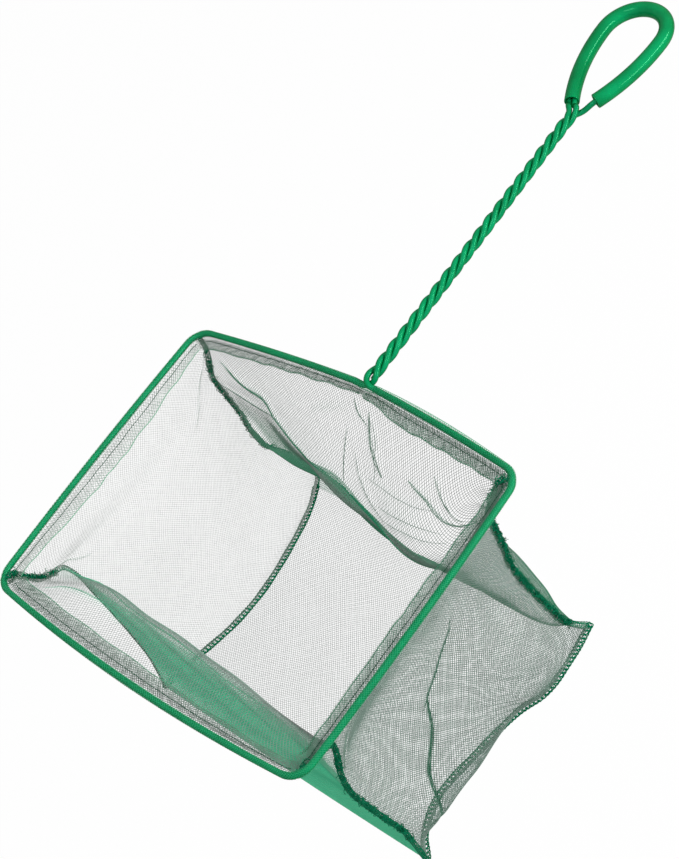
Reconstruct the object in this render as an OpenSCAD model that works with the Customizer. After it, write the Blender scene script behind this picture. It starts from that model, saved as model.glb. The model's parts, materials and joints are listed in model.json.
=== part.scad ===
// Aquarium fish net: one length of vinyl-coated steel wire is bent to a rounded
// rectangular hoop, its two legs are laid round each other as the handle, and
// their ends close a teardrop loop inside a vinyl sleeve. A box-shaped bag of
// knitted net hangs from the hoop, sewn from one strip and two side panels.
//
// +Z is up, out of the bag's mouth, and the hoop lies level. +Y runs along the
// handle, away from the bag. The origin is the centre of the loop's round top.

/* [Wire] */
// Diameter over the vinyl coating
wire_d = 3.5; // [2.5:0.1:4.5]
// Diameter of the steel core
core_d = 2.6; // [1.6:0.1:3]

/* [Hoop] */
// Width of the mouth, between the centre lines of the side wires
mouth_w = 254; // [180:2:320]
// Length of the mouth along the handle, from centre line to centre line
mouth_l = 190; // [140:2:240]
// Bend radius of the corners, on the wire's centre line
corner_r = 13; // [8:1:24]
// How far the leading edge bows outwards
far_bow = 6; // [2:0.5:10]
// How far each side wire bows outwards
side_bow = 1.6; // [0.8:0.2:4]
// How far each half of the handle's edge bows outwards
near_bow = 1.4; // [0.6:0.2:3]
// Rise of the handle's edge from its corners to the handle
throat_rise = 11.5; // [6:0.5:18]
// Offset of the hoop's centre from the handle's axis
hoop_shift = -6.5; // [-12:0.5:12]

/* [Handle] */
// Length of the handle, from the hoop's corners to the outside of the loop
handle_l = 305; // [240:5:380]
// Number of half turns in the twist, always odd
half_turns = 17; // [11:2:21]
// Length of the first quarter turn, which is looser
first_quarter = 6.3; // [5:0.1:8]
// Extra room between the strands in that first quarter turn
throat_open = 0.35; // [0:0.05:0.6]
// Clearance between the two strands
lay_gap = 0.06; // [0.02:0.02:0.2]
// How far from the axis each edge wire starts its bend into the handle
throat_run = 9; // [8:0.5:14]
// Height of the first crossing above the edge wires
throat_lift = 1.6; // [0.8:0.2:3]

/* [Loop and sleeve] */
// Length of the loop, from the last crossing to its outside
loop_l = 90; // [75:1:110]
// Outside width of the loop over the sleeve
loop_w = 51; // [42:1:60]
// Outside diameter of the sleeve
sleeve_d = 9.2; // [8.5:0.1:11]
// Play of the two wires in the sleeve's bore
sleeve_play = 0.4; // [0.4:0.05:0.7]
// Bare wire between the last crossing and the sleeve's left end
left_bare = 11; // [9:0.5:16]
// Bare wire between the last crossing and the sleeve's right end
right_bare = 16; // [12:0.5:22]
// Length of the left leg's end that is hidden in the sleeve
hidden_end = 32; // [20:1:45]
// Length of the other end that stands out of the sleeve's left end
tail_l = 3; // [2:0.5:4]

/* [Bag] */
// Depth of the bag below the hoop's centre line
bag_depth = 160; // [110:5:200]
// Width of the bag's floor
floor_w = 230; // [200:2:244]
// Length of the bag's floor
floor_l = 163; // [120:1:176]
// Sideways offset of the floor from the hoop's centre
floor_shift_x = -1; // [-4:0.5:4]
// Offset of the floor from the hoop's centre towards the handle
floor_shift_y = 5; // [-4:0.5:8]
// Thickness of the net
net_t = 0.5; // [0.4:0.1:0.8]
// Deepest sag of the handle-side wall into the bag
near_sag = 34; // [10:1:40]
// Deepest sag of the far wall into the bag
far_sag = 14; // [4:1:18]
// Deepest sag of the left panel into the bag
left_sag = 7; // [2:0.5:12]
// Most that the right panel swells out above the floor
right_swell = 13; // [4:0.5:16]
// How far each corner of the bag is drawn in below the hoop
corner_pull = 20; // [8:1:22]
// How far the floor's side edges are drawn in between its corners
floor_waist = 18; // [6:1:22]
// Diameter of the overlocked seams
seam_d = 2.8; // [2:0.2:3.6]
// Share of the bag's depth that the floor can rise when the bag is pushed flat
collapse_share = 0.8; // [0.5:0.05:0.85]

/* [Hem] */
// Width of the hem's flap inside the wire
hem_w = 9; // [6:0.5:12]
// Slope of the flap below the hoop's plane, in degrees
hem_slope = 16; // [5:1:25]
// Distance of the stitch line from the wire
stitch_in = 4.5; // [3:0.5:6]
// Diameter of the hem's sewing thread
thread_d = 0.5; // [0.4:0.1:0.8]

/* [Hidden] */

// Colours
vinyl_green = [0.04, 0.55, 0.33];
sleeve_green = [0.08, 0.66, 0.42];
steel_grey = [0.62, 0.63, 0.65];
net_green = [0.66, 0.76, 0.72];
seam_green = [0.10, 0.38, 0.28];

// Faces of the swept wires and the round sections. A core has half as many sides as its coating.
core_sides = 5;
wire_sides = 2 * core_sides;
round_sides = 32;
run_steps = 8;
edge_steps = [4, 4, 7, 4, 4];
corner_steps = 5;
bend_steps = 6;
steps_per_turn = 9;
leg_steps = 6;
top_steps = 14;

// Clearances: in the coating's bore, round the wire in its hem, and between the bag's two bodies
bore_clear = 0.02;
hem_clear = 0.15;
cloth_gap = 0.3;

wire_r = wire_d / 2;

// Corner radius of a polygon that has the area of a circle
function fair_r(r, sides) = r * sqrt(2 * PI / (sides * sin(360 / sides)));
core_r = fair_r(core_d / 2, core_sides);
bore_r = core_r + bore_clear;
seam_r = seam_d / 2;
thread_r = thread_d / 2;

// Stations along the handle's axis
loop_r = (loop_w - sleeve_d) / 2;
cross_y = loop_w / 2 - loop_l;
throat_y = loop_w / 2 - handle_l + throat_rise;
near_y = throat_y - throat_rise;
far_y = near_y - mouth_l;

// Corners of the hoop's outline, clockwise from the handle seen from above
outline = [[0, throat_y], [hoop_shift + mouth_w / 2, near_y], [hoop_shift + mouth_w / 2, far_y],
    [hoop_shift - mouth_w / 2, far_y], [hoop_shift - mouth_w / 2, near_y]];
bows = [near_bow, side_bow, far_bow, side_bow, near_bow];
edge_count = len(outline);

function unit(v) = v / norm(v);
function mix(a, b, t) = a * (1 - t) + b * t;
function flat3(p, z = 0) = [p.x, p.y, z];
function bearing(from, to) = atan2(to.y - from.y, to.x - from.x);
function ray(angle) = [cos(angle), sin(angle)];
function arc_turn(length, radius) = length / radius * 180 / PI;

// Angle from a back to b, clockwise, between 0 and 360
function sweep_back(a, b) = ((a - b) % 360 + 360) % 360;

// Every edge of the hoop is an arc that bows outwards between two corners
function edge_from(i) = outline[i % edge_count];
function edge_to(i) = outline[(i + 1) % edge_count];
function edge_r(i) = (pow(norm(edge_to(i) - edge_from(i)) / 2, 2) + pow(bows[i], 2)) / (2 * bows[i]);
function edge_c(i) =
    let (along = unit(edge_to(i) - edge_from(i)), inwards = [along.y, -along.x])
    (edge_from(i) + edge_to(i)) / 2 + inwards * (edge_r(i) - bows[i]);

// The point nearest to hint where two circles meet
function circles_meet(c0, r0, c1, r1, hint) =
    let (gap = norm(c1 - c0), along = (c1 - c0) / gap,
        reach = (r0 * r0 - r1 * r1 + gap * gap) / (2 * gap),
        side = sqrt(max(0, r0 * r0 - reach * reach)),
        foot = c0 + along * reach, across = [-along.y, along.x] * side)
    norm(foot + across - hint) < norm(foot - across - hint) ? foot + across : foot - across;

// Centre of the bend at corner i, tangent to the edges on both sides
function bend_c(i) = circles_meet(edge_c(i - 1), edge_r(i - 1) - corner_r,
    edge_c(i), edge_r(i) - corner_r, outline[i]);

// First and last angle of edge i, seen from its own centre
function edge_start(i) = i == 0
    ? bearing(edge_c(i), edge_from(i)) - arc_turn(throat_run, edge_r(i))
    : bearing(edge_c(i), bend_c(i));
function edge_end(i) = i == edge_count - 1
    ? bearing(edge_c(i), edge_to(i)) + arc_turn(throat_run, edge_r(i))
    : bearing(edge_c(i), bend_c(i + 1));
function edge_point(i, angle) = edge_c(i) + ray(angle) * edge_r(i);

// Draws a section, given in the plane of radius and height, along an arc, clockwise from a to b
module arc_run(c, r, a, b, steps = run_steps) {
    turn = sweep_back(a, b);
    translate(flat3(c)) rotate([0, 0, b])
        rotate_extrude(angle = turn, $fn = ceil(steps * 360 / turn))
            translate([r, 0]) children();
}

module ring(outer_r, inner_r) {
    difference() {
        circle(r = outer_r, $fn = round_sides);
        circle(r = inner_r, $fn = round_sides);
    }
}

// Swept wires: a ring of points is set square to the path at each of its points
function end_heading(p, q, r) = unit(4 * q - 3 * p - r);
function heading(path, i) =
    let (n = len(path) - 1)
    i == 0 ? end_heading(path[0], path[1], path[2])
    : i == n ? -end_heading(path[n], path[n - 1], path[n - 2])
    : unit(path[i + 1] - path[i - 1]);
function path_ring(path, i, r, sides) =
    let (t = heading(path, i), across = unit(cross(t, [0, 0, 1])), up = cross(across, t))
    [for (k = [0 : sides - 1]) path[i] + (across * cos(360 * k / sides) + up * sin(360 * k / sides)) * r];

// Faces between ring a and ring b of a swept wall, as two triangles for each side
function band(a, b, sides) = [for (k = [0 : sides - 1])
    let (n = (k + 1) % sides)
    each [[a + k, b + n, b + k], [a + k, a + n, b + n]]];
function flip(faces) = [for (f = faces) [f[2], f[1], f[0]]];

module swept_wire(path, r, sides = core_sides) {
    last = len(path) - 1;
    points = [for (i = [0 : last]) each path_ring(path, i, r, sides)];
    walls = [for (i = [0 : last - 1]) each band(i * sides, (i + 1) * sides, sides)];
    caps = [for (k = [1 : sides - 2]) each
        [[0, k + 1, k], [last * sides, last * sides + k, last * sides + k + 1]]];
    polyhedron(points = points, faces = concat(walls, caps));
}

// The flat end of a coating, from a core ring that starts at a to a wire ring that starts at b
function cut_end(a, b) = [for (k = [0 : core_sides - 1])
    let (next = (k + 1) % core_sides, mid = b + 2 * k + 1, far = b + (2 * k + 2) % wire_sides)
    each [[a + k, mid, b + 2 * k], [a + k, a + next, mid], [a + next, far, mid]]];

// A coating with its bore
module swept_coating(path) {
    last = len(path) - 1;
    bore = (last + 1) * wire_sides;
    points = concat([for (i = [0 : last]) each path_ring(path, i, wire_r, wire_sides)],
        [for (i = [0 : last]) each path_ring(path, i, bore_r, core_sides)]);
    outside = [for (i = [0 : last - 1]) each band(i * wire_sides, (i + 1) * wire_sides, wire_sides)];
    inside = [for (i = [0 : last - 1]) each
        band(bore + i * core_sides, bore + (i + 1) * core_sides, core_sides)];
    ends = concat(cut_end(bore, 0), flip(cut_end(bore + last * core_sides, last * wire_sides)));
    polyhedron(points = points, faces = concat(outside, flip(inside), ends));
}

function bezier(p0, p1, p2, p3, t) =
    p0 * pow(1 - t, 3) + p1 * 3 * t * pow(1 - t, 2) + p2 * 3 * t * t * (1 - t) + p3 * pow(t, 3);

// A smooth run from p to q that leaves along dp and arrives along dq
function blend_run(p, dp, q, dq, steps, pull_share = 0.4) =
    let (pull = norm(q - p) * pull_share)
    [for (k = [0 : steps]) bezier(p, p + unit(dp) * pull, q - unit(dq) * pull, q, k / steps)];
function but_first(list) = [for (i = [1 : len(list) - 1]) list[i]];

// The lay: strand 1 comes from the right-hand edge, strand -1 from the left-hand one.
// Its phase turns from the x axis towards the z axis as y grows, which makes the lay left-handed.
// Its rings stand a little wider than the strands' own radius, so that the chords between them clear.
lay_r = (wire_r + lay_gap / 2) / cos(180 / steps_per_turn);
lay_start = throat_y + throat_lift + first_quarter;
lay_rate = (180 * half_turns - 90) / (cross_y - lay_start);
slope = lay_r * lay_rate * PI / 180;
function lay_phase(y) = 180 + lay_rate * (y - lay_start);
function lay_radius(y) = lay_r + throat_open * pow(max(0, 1 - (y - lay_start) / first_quarter), 2);
function lay_point(side, y) = [side * lay_radius(y) * cos(lay_phase(y)), y,
    side * lay_radius(y) * sin(lay_phase(y))];
function lay_heading(side, y) = unit([-side * slope * sin(lay_phase(y)), 1, side * slope * cos(lay_phase(y))]);

// Where each edge wire ends and turns into the handle, and its heading towards the handle
function bar_edge(side) = side > 0 ? 0 : edge_count - 1;
function bar_angle(side) = side > 0 ? edge_start(0) : edge_end(edge_count - 1);
function bar_end(side) = flat3(edge_point(bar_edge(side), bar_angle(side)));
function bar_heading(side) = flat3(ray(bar_angle(side) + side * 90));

// The hoop's centre line, clockwise from the handle: each edge and then the bend that follows it
function arc_points(c, r, a, b, steps) =
    [for (k = [1 : steps]) flat3(c + ray(a - sweep_back(a, b) * k / steps) * r)];
hoop_path = concat([bar_end(1)], [for (i = [0 : edge_count - 1]) each concat(
    arc_points(edge_c(i), edge_r(i), edge_start(i), edge_end(i), edge_steps[i]),
    i == edge_count - 1 ? []
        : arc_points(bend_c(i + 1), corner_r, edge_end(i), edge_start(i + 1), corner_steps))]);

module hoop_coating() {
    color(vinyl_green) swept_coating(hoop_path);
}

module hoop_core() {
    color(steel_grey) swept_wire(hoop_path, core_r);
}

// First crossing: the strands pass each other square, one in front and one behind
function crossing(side) = [0, throat_y + throat_lift, side * (wire_r + lay_gap)];
function crossing_heading(side) = [-side, 1, 0];

lay_steps = round(half_turns * steps_per_turn / 2);
function throat_path(side) = concat(
    blend_run(bar_end(side), bar_heading(side), crossing(side), crossing_heading(side), bend_steps),
    but_first(blend_run(crossing(side), crossing_heading(side), lay_point(side, lay_start),
        lay_heading(side, lay_start), bend_steps - 2)));
function lay_path(side) = [for (k = [1 : lay_steps]) lay_point(side, mix(lay_start, cross_y, k / lay_steps))];

// The loop: a half circle on top and one long arc in each leg, down to the last crossing
leg_r = (loop_r * loop_r + cross_y * cross_y) / (2 * loop_r);
leg_turn = asin(-cross_y / leg_r);
left_turn = leg_turn - arc_turn(left_bare, leg_r);
right_turn = leg_turn - arc_turn(right_bare, leg_r);
sleeve_bore_r = wire_d + sleeve_play / 2;
// Two wires lie in lanes of the bore, with a third of the play between them and on each side
lane = sleeve_bore_r - wire_r - sleeve_play / 3;
function leg_point(side, a, out = 0) =
    [side * (loop_r - leg_r + (leg_r + out) * cos(a)), -(leg_r + out) * sin(a), 0];
function leg_down(side, a) = [-side * sin(a), -cos(a), 0];

// Strand -1 goes up the left leg in the outer lane and ends inside the sleeve.
// Strand 1 goes up the right leg, round the loop in the inner lane and out at the left end.
hidden_turn = left_turn - arc_turn(hidden_end, leg_r);
left_leg = concat(
    but_first(blend_run(lay_point(-1, cross_y), lay_heading(-1, cross_y), leg_point(-1, left_turn, lane),
        -leg_down(-1, left_turn), bend_steps)),
    [for (k = [1 : leg_steps]) leg_point(-1, mix(left_turn, hidden_turn, k / leg_steps), lane)]);
right_leg = but_first(blend_run(lay_point(1, cross_y), lay_heading(1, cross_y), leg_point(1, right_turn),
    -leg_down(1, right_turn), bend_steps));
tail_start = leg_point(-1, left_turn, -lane);
loop_path = concat(
    [for (k = [0 : leg_steps]) let (t = k / leg_steps)
        leg_point(1, mix(right_turn, 0, t), -lane * sin(90 * t))],
    [for (k = [1 : top_steps]) flat3(ray(180 * k / top_steps) * (loop_r - lane))],
    [for (k = [1 : leg_steps]) leg_point(-1, left_turn * k / leg_steps, -lane)],
    [tail_start + leg_down(-1, left_turn) * tail_l]);

strand_left_path = concat(throat_path(-1), lay_path(-1), left_leg);
strand_right_path = concat(throat_path(1), lay_path(1), right_leg);

// Least distance between the surfaces of the two strands, measured on their points
strand_gap = min([for (p = strand_left_path) min([for (q = strand_right_path) norm(p - q)])]) - wire_d;
echo(strand_gap = strand_gap);

module strand_left_coating() {
    color(vinyl_green) swept_coating(strand_left_path);
}

module strand_left_core() {
    color(steel_grey) swept_wire(strand_left_path, core_r);
}

module strand_right_coating() {
    color(vinyl_green) swept_coating(strand_right_path);
}

module strand_right_core() {
    color(steel_grey) swept_wire(strand_right_path, core_r);
}

module loop_coating() {
    color(vinyl_green) swept_coating(loop_path);
}

module loop_core() {
    color(steel_grey) swept_wire(loop_path, core_r);
}

// The sleeve is cut square at both ends. A leg of it swings down about its own centre, out past the other leg.
module sleeve_leg(turn) {
    translate([loop_r, 0, 0]) translate([-leg_r, 0, 0]) mirror([0, 1, 0])
        rotate_extrude(angle = turn, $fn = ceil(run_steps * 360 / turn))
            translate([leg_r, 0]) ring(sleeve_d / 2, sleeve_bore_r);
}

module grip_sleeve() {
    color(sleeve_green) {
        rotate_extrude(angle = 180, $fn = 2 * round_sides)
            translate([loop_r, 0]) ring(sleeve_d / 2, sleeve_bore_r);
        sleeve_leg(right_turn);
        mirror([1, 0, 0]) sleeve_leg(left_turn);
    }
}

// The hem: net folded round the wire, with its doubled flap inside the hoop
hem_in_r = wire_r + hem_clear;
hem_out_r = hem_in_r + net_t;
flap_t = 2 * net_t;
hem_end = corner_r / 4;

module on_flap() {
    rotate(180 + hem_slope) children();
}

module hem_section() {
    difference() {
        union() {
            circle(r = hem_out_r, $fn = round_sides);
            on_flap() translate([0, -flap_t / 2]) square([hem_in_r + hem_w, flap_t]);
        }
        circle(r = hem_in_r, $fn = round_sides);
    }
}

module stitch_section() {
    on_flap() translate([hem_in_r + stitch_in, -flap_t / 2 - thread_d]) circle(r = thread_r, $fn = round_sides);
}

// Runs a section along edge i, stopping short of the corner bends and of the throat
module hem_run(i) {
    short = arc_turn(hem_end, edge_r(i));
    arc_run(edge_c(i), edge_r(i), edge_start(i) - short, edge_end(i) + short) children();
}

module hem(i) {
    color(net_green) hem_run(i) hem_section();
}

module hem_thread() {
    color(seam_green) for (i = [0 : edge_count - 1]) hem_run(i) stitch_section();
}

// The bag. Its corner lines start under the hoop's bends, are drawn in, and end at the floor's corners.
hoop_c = [hoop_shift, near_y - mouth_l / 2];
floor_c = hoop_c + [floor_shift_x, floor_shift_y];
corner_dir = [[1, 1], [1, -1], [-1, -1], [-1, 1]];
bag_top = -hem_out_r - hem_clear;
floor_z = -bag_depth;
seam_end_z = floor_z + seam_d + cloth_gap;
function bag_corner_top(j) = bend_c(j + 1) + unit(corner_dir[j]) * corner_r;
function bag_corner_floor(j) = floor_c + [corner_dir[j].x * floor_w, corner_dir[j].y * floor_l] / 2;

// The walls and the corner seams share these rows, closer together near the hoop
row_shares = [0, 0.15, 0.3, 0.5, 0.75, 1];
wall_rows = len(row_shares) - 1;
wall_cols = 6;

// Each corner's pull across and along the handle, in the order of corner_dir, at every row
corner_draw_shares = [
    [[0, 0], [0.46, 0.86], [0.48, 0.91], [0.47, 0.91], [0.38, 0.68], [0, 0]],
    [[0, 0], [0, 0.73], [0, 0.37], [0, 0.3], [0, 0.29], [0, 0]],
    [[0, 0], [0, 1.05], [0, 1.2], [0, 0.99], [0, 0.62], [0, 0]],
    [[0, 0], [-0.12, 0.32], [-0.17, 0.43], [-0.16, 0.46], [0, 0.1], [0, 0]]];
function bag_corner(j, row) = let (s = corner_draw_shares[j][row])
    mix(bag_corner_top(j), bag_corner_floor(j), row_shares[row])
    - [corner_dir[j].x * s.x, corner_dir[j].y * s.y] * corner_pull;

// Sag of each wall at every row and column, from its first corner to its second
near_sag_shares = [[0, 0, 0, 0, 0, 0, 0], [0, 0, 0.09, 0.18, 0.26, 0.29, 0], [0, 0.15, 0.44, 0.7, 0.94, 1, 0],
    [0, -0.09, 0.09, 0.32, 0.59, 0.65, 0], [0, -0.05, 0, 0.07, 0.25, 0.32, 0], [0, 0, 0, 0, 0, 0, 0]];
far_sag_shares = [[0, 0, 0, 0, 0, 0, 0], [0, 0.36, 0.71, 0.93, 1, 1, 0], [0, 0.5, 0.64, 0.64, 0.5, 0.29, 0],
    [0, 0.36, 0.43, 0.43, 0.29, 0.14, 0], [0, 0.07, 0.07, 0.07, 0.07, 0, 0], [0, 0, 0, 0, 0, 0, 0]];
left_sag_shares = [[0, 0, 0, 0, 0, 0, 0], [0, 0.29, 0.43, 0.43, 0.43, 0.29, 0],
    [0, 0.43, 0.71, 0.86, 0.71, 0.43, 0], [0, 0.43, 0.86, 1, 0.86, 0.43, 0],
    [0, 0.29, 0.5, 0.64, 0.5, 0.29, 0], [0, 0, 0, 0, 0, 0, 0]];
right_swell_shares = [[0, 0, 0, 0, 0, 0, 0], [0, -0.08, -0.15, -0.15, -0.15, -0.15, 0],
    [0, -0.15, -0.23, -0.23, -0.23, -0.23, 0], [0, 0.08, 0.15, 0.23, 0.23, 0.15, 0],
    [0, 0.38, 0.62, 0.85, 1, 0.85, 0], [0, 0, 0, 0, 0, 0, 0]];

// The floor's side edges at every column of the side panels, which run round the bag clockwise
right_waist_shares = [0, -0.14, 0.08, 0.53, 0.83, 0.89, 0];
left_waist_shares = [0, 0.39, 0.82, 0.97, 0.83, 0.53, 0];

// A leaning seam is cut square, so its end dips by this share of its radius and stops short by that much
end_dip = 0.4;
seam_sides = 6;
module corner_seam(j) {
    lifts = [for (row = [0 : wall_rows]) row == 0 ? -seam_r : row == wall_rows ? seam_r * end_dip : 0];
    path = [for (row = [wall_rows : -1 : 0])
        flat3(bag_corner(j, row), mix(bag_top, seam_end_z, row_shares[row]) + lifts[row])];
    color(seam_green) swept_wire(path, seam_r, seam_sides);
}

// Outward bow of the hoop's edge i at share u of its length
function edge_bow(i, u) = 4 * bows[i] * u * (1 - u);
function near_rise(u) =
    let (x = mix(bag_corner_top(3).x, bag_corner_top(0).x, u), full = throat_y - wire_d - bag_corner_top(0).y,
        left = -bag_corner_top(3).x, right = bag_corner_top(0).x)
    x < 0 ? full * (1 + x / left) : full * (1 - x / right);

// A wall stops short of its corner seams, whose level section is wider where they lean
seam_lean = 1.35;
wall_inset = seam_r * seam_lean + cloth_gap;

// The net's plain openings, one in each cell of a panel
open_share = 0.8;

// A sheet of net from its front and back points, in rows and columns. Each cell keeps a frame round its opening.
module net_sheet(front, back, rows, cols) {
    wide = cols + 1;
    sheet = wide * (rows + 1);
    cells = [for (r = [0 : rows - 1]) for (c = [0 : cols - 1]) let (s = r * wide + c)
        [s, s + wide, s + wide + 1, s + 1]];
    function rims(points) = [for (cell = cells) let (middle = (points[cell[0]] + points[cell[1]]
        + points[cell[2]] + points[cell[3]]) / 4) each [for (k = cell) mix(middle, points[k], open_share)]];
    front_rim = 2 * sheet;
    back_rim = front_rim + 4 * len(cells);
    function quad(a, b, c, d) = [[a, b, c], [a, c, d]];
    frames = [for (i = [0 : len(cells) - 1]) each [for (k = [0 : 3])
        let (n = (k + 1) % 4, a = cells[i][k], b = cells[i][n], f = front_rim + 4 * i, g = back_rim + 4 * i)
        each concat(quad(a, b, f + n, f + k), quad(g + k, g + n, b + sheet, a + sheet),
            quad(f + k, f + n, g + n, g + k))]];
    top = [for (c = [0 : cols - 1]) [c, c + 1]];
    bottom = [for (c = [0 : cols - 1]) let (s = rows * wide + c) [s + 1, s]];
    first = [for (r = [0 : rows - 1]) [(r + 1) * wide, r * wide]];
    second = [for (r = [0 : rows - 1]) let (s = r * wide + cols) [s, s + wide]];
    rim = [for (e = concat(top, bottom, first, second)) each
        [[e[0], e[1], e[0] + sheet], [e[1], e[1] + sheet, e[0] + sheet]]];
    color(net_green) polyhedron(points = concat(front, back, rims(front), rims(back)), faces = concat(frames, rim));
}

// A wall between corner lines a and b. Its top follows the hoop's edge, and its shifts point outwards, along out.
function top_rise(kind, u) = kind == "near" ? near_rise(u) : kind == "far" ? edge_bow(2, u) : edge_bow(1, u);
function wall_point(a, b, out, kind, shifts, waist_shares, bottom_z, row, col) =
    let (v = row_shares[row], p = bag_corner(a, row), q = bag_corner(b, row), side = wall_inset / norm(q - p),
        w = mix(side, 1 - side, col / wall_cols),
        shift = top_rise(kind, w) * (1 - v) + shifts[row][col] - floor_waist * waist_shares[col] * v)
    flat3(mix(p, q, w) + out * shift, mix(bag_top, bottom_z, v));

no_waist_shares = [for (c = [0 : wall_cols]) 0];
module wall(a, b, out, kind, shifts, bottom_z, waist_shares = no_waist_shares) {
    outer = [for (r = [0 : wall_rows]) for (c = [0 : wall_cols])
        wall_point(a, b, out, kind, shifts, waist_shares, bottom_z, r, c) + flat3(out) * net_t / 2];
    net_sheet(outer, [for (p = outer) p - flat3(out) * net_t], wall_rows, wall_cols);
}

strip_end_z = floor_z + net_t + cloth_gap;
module wall_near() {
    wall(3, 0, [0, 1], "near", -near_sag * near_sag_shares, strip_end_z);
}

module panel_right() {
    wall(0, 1, [1, 0], "side", right_swell * right_swell_shares, seam_end_z, right_waist_shares);
}

module wall_far() {
    wall(1, 2, [0, -1], "far", -far_sag * far_sag_shares, strip_end_z);
}

module panel_left() {
    wall(2, 3, [-1, 0], "side", -left_sag * left_sag_shares, seam_end_z, left_waist_shares);
}

// Half the floor's width beside the handle's axis, at each row from the handle's side to the far side
function half_floor(side, k) = floor_w / 2
    - floor_waist * (side > 0 ? right_waist_shares[k] : left_waist_shares[wall_cols - k]);
function floor_edge(side, k) = floor_c + [side * half_floor(side, k), floor_l * (1 / 2 - k / wall_cols)];

// The floor slides up by this much when the bag is pushed flat for storage
collapse_travel = bag_depth * collapse_share;
echo(collapse_travel = collapse_travel);

module floor_net() {
    inset = [seam_r + hem_clear, 0];
    under = [for (k = [0 : wall_cols]) for (c = [0 : wall_rows])
        flat3(mix(floor_edge(-1, k) + inset, floor_edge(1, k) - inset, c / wall_rows), floor_z)];
    net_sheet(under, [for (p = under) p + [0, 0, net_t]], wall_cols, wall_rows);
}

module floor_seam(side) {
    color(seam_green) swept_wire([for (k = [0 : wall_cols]) flat3(floor_edge(side, k), floor_z + seam_r)],
        seam_r, seam_sides);
}

hoop_coating();
hoop_core();
strand_left_coating();
strand_left_core();
strand_right_coating();
strand_right_core();
loop_coating();
loop_core();
grip_sleeve();
hem(0);  // hem_near_right
hem(1);  // hem_right
hem(2);  // hem_far
hem(3);  // hem_left
hem(4);  // hem_near_left
hem_thread();
wall_near();
wall_far();
panel_left();
panel_right();
floor_net();
corner_seam(0);  // corner_seam_near_right
corner_seam(1);  // corner_seam_far_right
corner_seam(2);  // corner_seam_far_left
corner_seam(3);  // corner_seam_near_left
floor_seam(-1);  // floor_seam_left
floor_seam(1);  // floor_seam_right
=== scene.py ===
"""Aquarium fish net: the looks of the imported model.

The wire, its twisted handle and the sleeved loop are smooth tubes along the same lines as the solids.
The bag is real netting: every panel is a lattice of threads that lies on the hung shape of its cloth,
with its folds, sewn hems and overlocked seams. All sizes are millimetres until a mesh is made.
"""
from __future__ import annotations

import json
import logging
import math
from collections.abc import Mapping
from dataclasses import dataclass, field, replace
from enum import Enum, IntEnum

import bpy
import numpy as np
from mathutils import Matrix, Vector

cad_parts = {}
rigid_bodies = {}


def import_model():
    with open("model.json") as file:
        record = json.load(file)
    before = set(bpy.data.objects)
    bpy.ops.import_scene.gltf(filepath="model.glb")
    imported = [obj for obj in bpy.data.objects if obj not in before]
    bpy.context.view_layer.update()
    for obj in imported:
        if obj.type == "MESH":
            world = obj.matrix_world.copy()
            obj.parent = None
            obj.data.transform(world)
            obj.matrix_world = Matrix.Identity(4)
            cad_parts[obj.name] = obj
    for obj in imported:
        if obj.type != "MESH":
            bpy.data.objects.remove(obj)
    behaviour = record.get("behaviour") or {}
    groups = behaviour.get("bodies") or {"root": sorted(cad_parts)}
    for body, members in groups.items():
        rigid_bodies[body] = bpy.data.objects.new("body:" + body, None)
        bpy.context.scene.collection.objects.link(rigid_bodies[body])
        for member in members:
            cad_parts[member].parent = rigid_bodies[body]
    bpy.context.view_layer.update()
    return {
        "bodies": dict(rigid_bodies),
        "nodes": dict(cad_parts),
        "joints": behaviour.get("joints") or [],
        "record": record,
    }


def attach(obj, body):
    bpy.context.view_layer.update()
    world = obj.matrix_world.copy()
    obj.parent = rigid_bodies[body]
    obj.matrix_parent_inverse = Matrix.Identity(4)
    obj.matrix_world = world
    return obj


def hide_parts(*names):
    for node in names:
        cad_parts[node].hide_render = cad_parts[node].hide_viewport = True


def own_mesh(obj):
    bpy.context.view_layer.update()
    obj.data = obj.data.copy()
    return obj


LOG = logging.getLogger("fish_net")
MM = 0.001
UP = np.array([0.0, 0.0, 1.0])
FULL_TURN = 2 * math.pi
PHASE_SPAN = 6.0
Points = np.ndarray
Pair = tuple[float, float]
Triple = tuple[float, float, float]
Feeds = Mapping[str | int, object]
NO_FEEDS: Feeds = {}


class Slot(Enum):
    """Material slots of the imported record."""

    VINYL = "vinyl_coat"
    STEEL = "steel_core"
    SLEEVE = "sleeve"
    HEM = "hem"
    NET = "net"
    SEAM = "seam_thread"


class Body(Enum):
    """Bodies that the pieces ride on."""

    FRAME = "frame"
    FLOOR = "bag_floor"


class Side(Enum):
    """Sides of the bag, seen from above with the handle at the top."""

    NEAR = "near"
    RIGHT = "right"
    FAR = "far"
    LEFT = "left"


class Corner(Enum):
    """Corners of the bag, in the hoop's own order."""

    NEAR_RIGHT = 0
    FAR_RIGHT = 1
    FAR_LEFT = 2
    NEAR_LEFT = 3


class Strand(IntEnum):
    """Strands of the handle. Two come from the hoop's right and left edge, and one is the wire's
    return from the loop. The value is the side that a strand starts on."""

    RIGHT = 1
    LEFT = -1
    RETURN = 0


# Lines


def run_length(line: Points) -> Points:
    """Length along a line up to each of its points."""
    steps = np.linalg.norm(np.diff(line, axis=0), axis=1)
    return np.concatenate([[0.0], np.cumsum(steps)])


def resampled(line: Points, step: float) -> Points:
    """The same line with its points an even step apart.

    Args:
        line: Points of the line.
        step: Wanted distance between points.

    Returns:
        The new points, both ends included.
    """
    along = run_length(line)
    count = max(2, int(round(along[-1] / step)) + 1)
    places = np.linspace(0.0, along[-1], count)
    return np.stack([np.interp(places, along, column) for column in line.T], axis=1)


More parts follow.
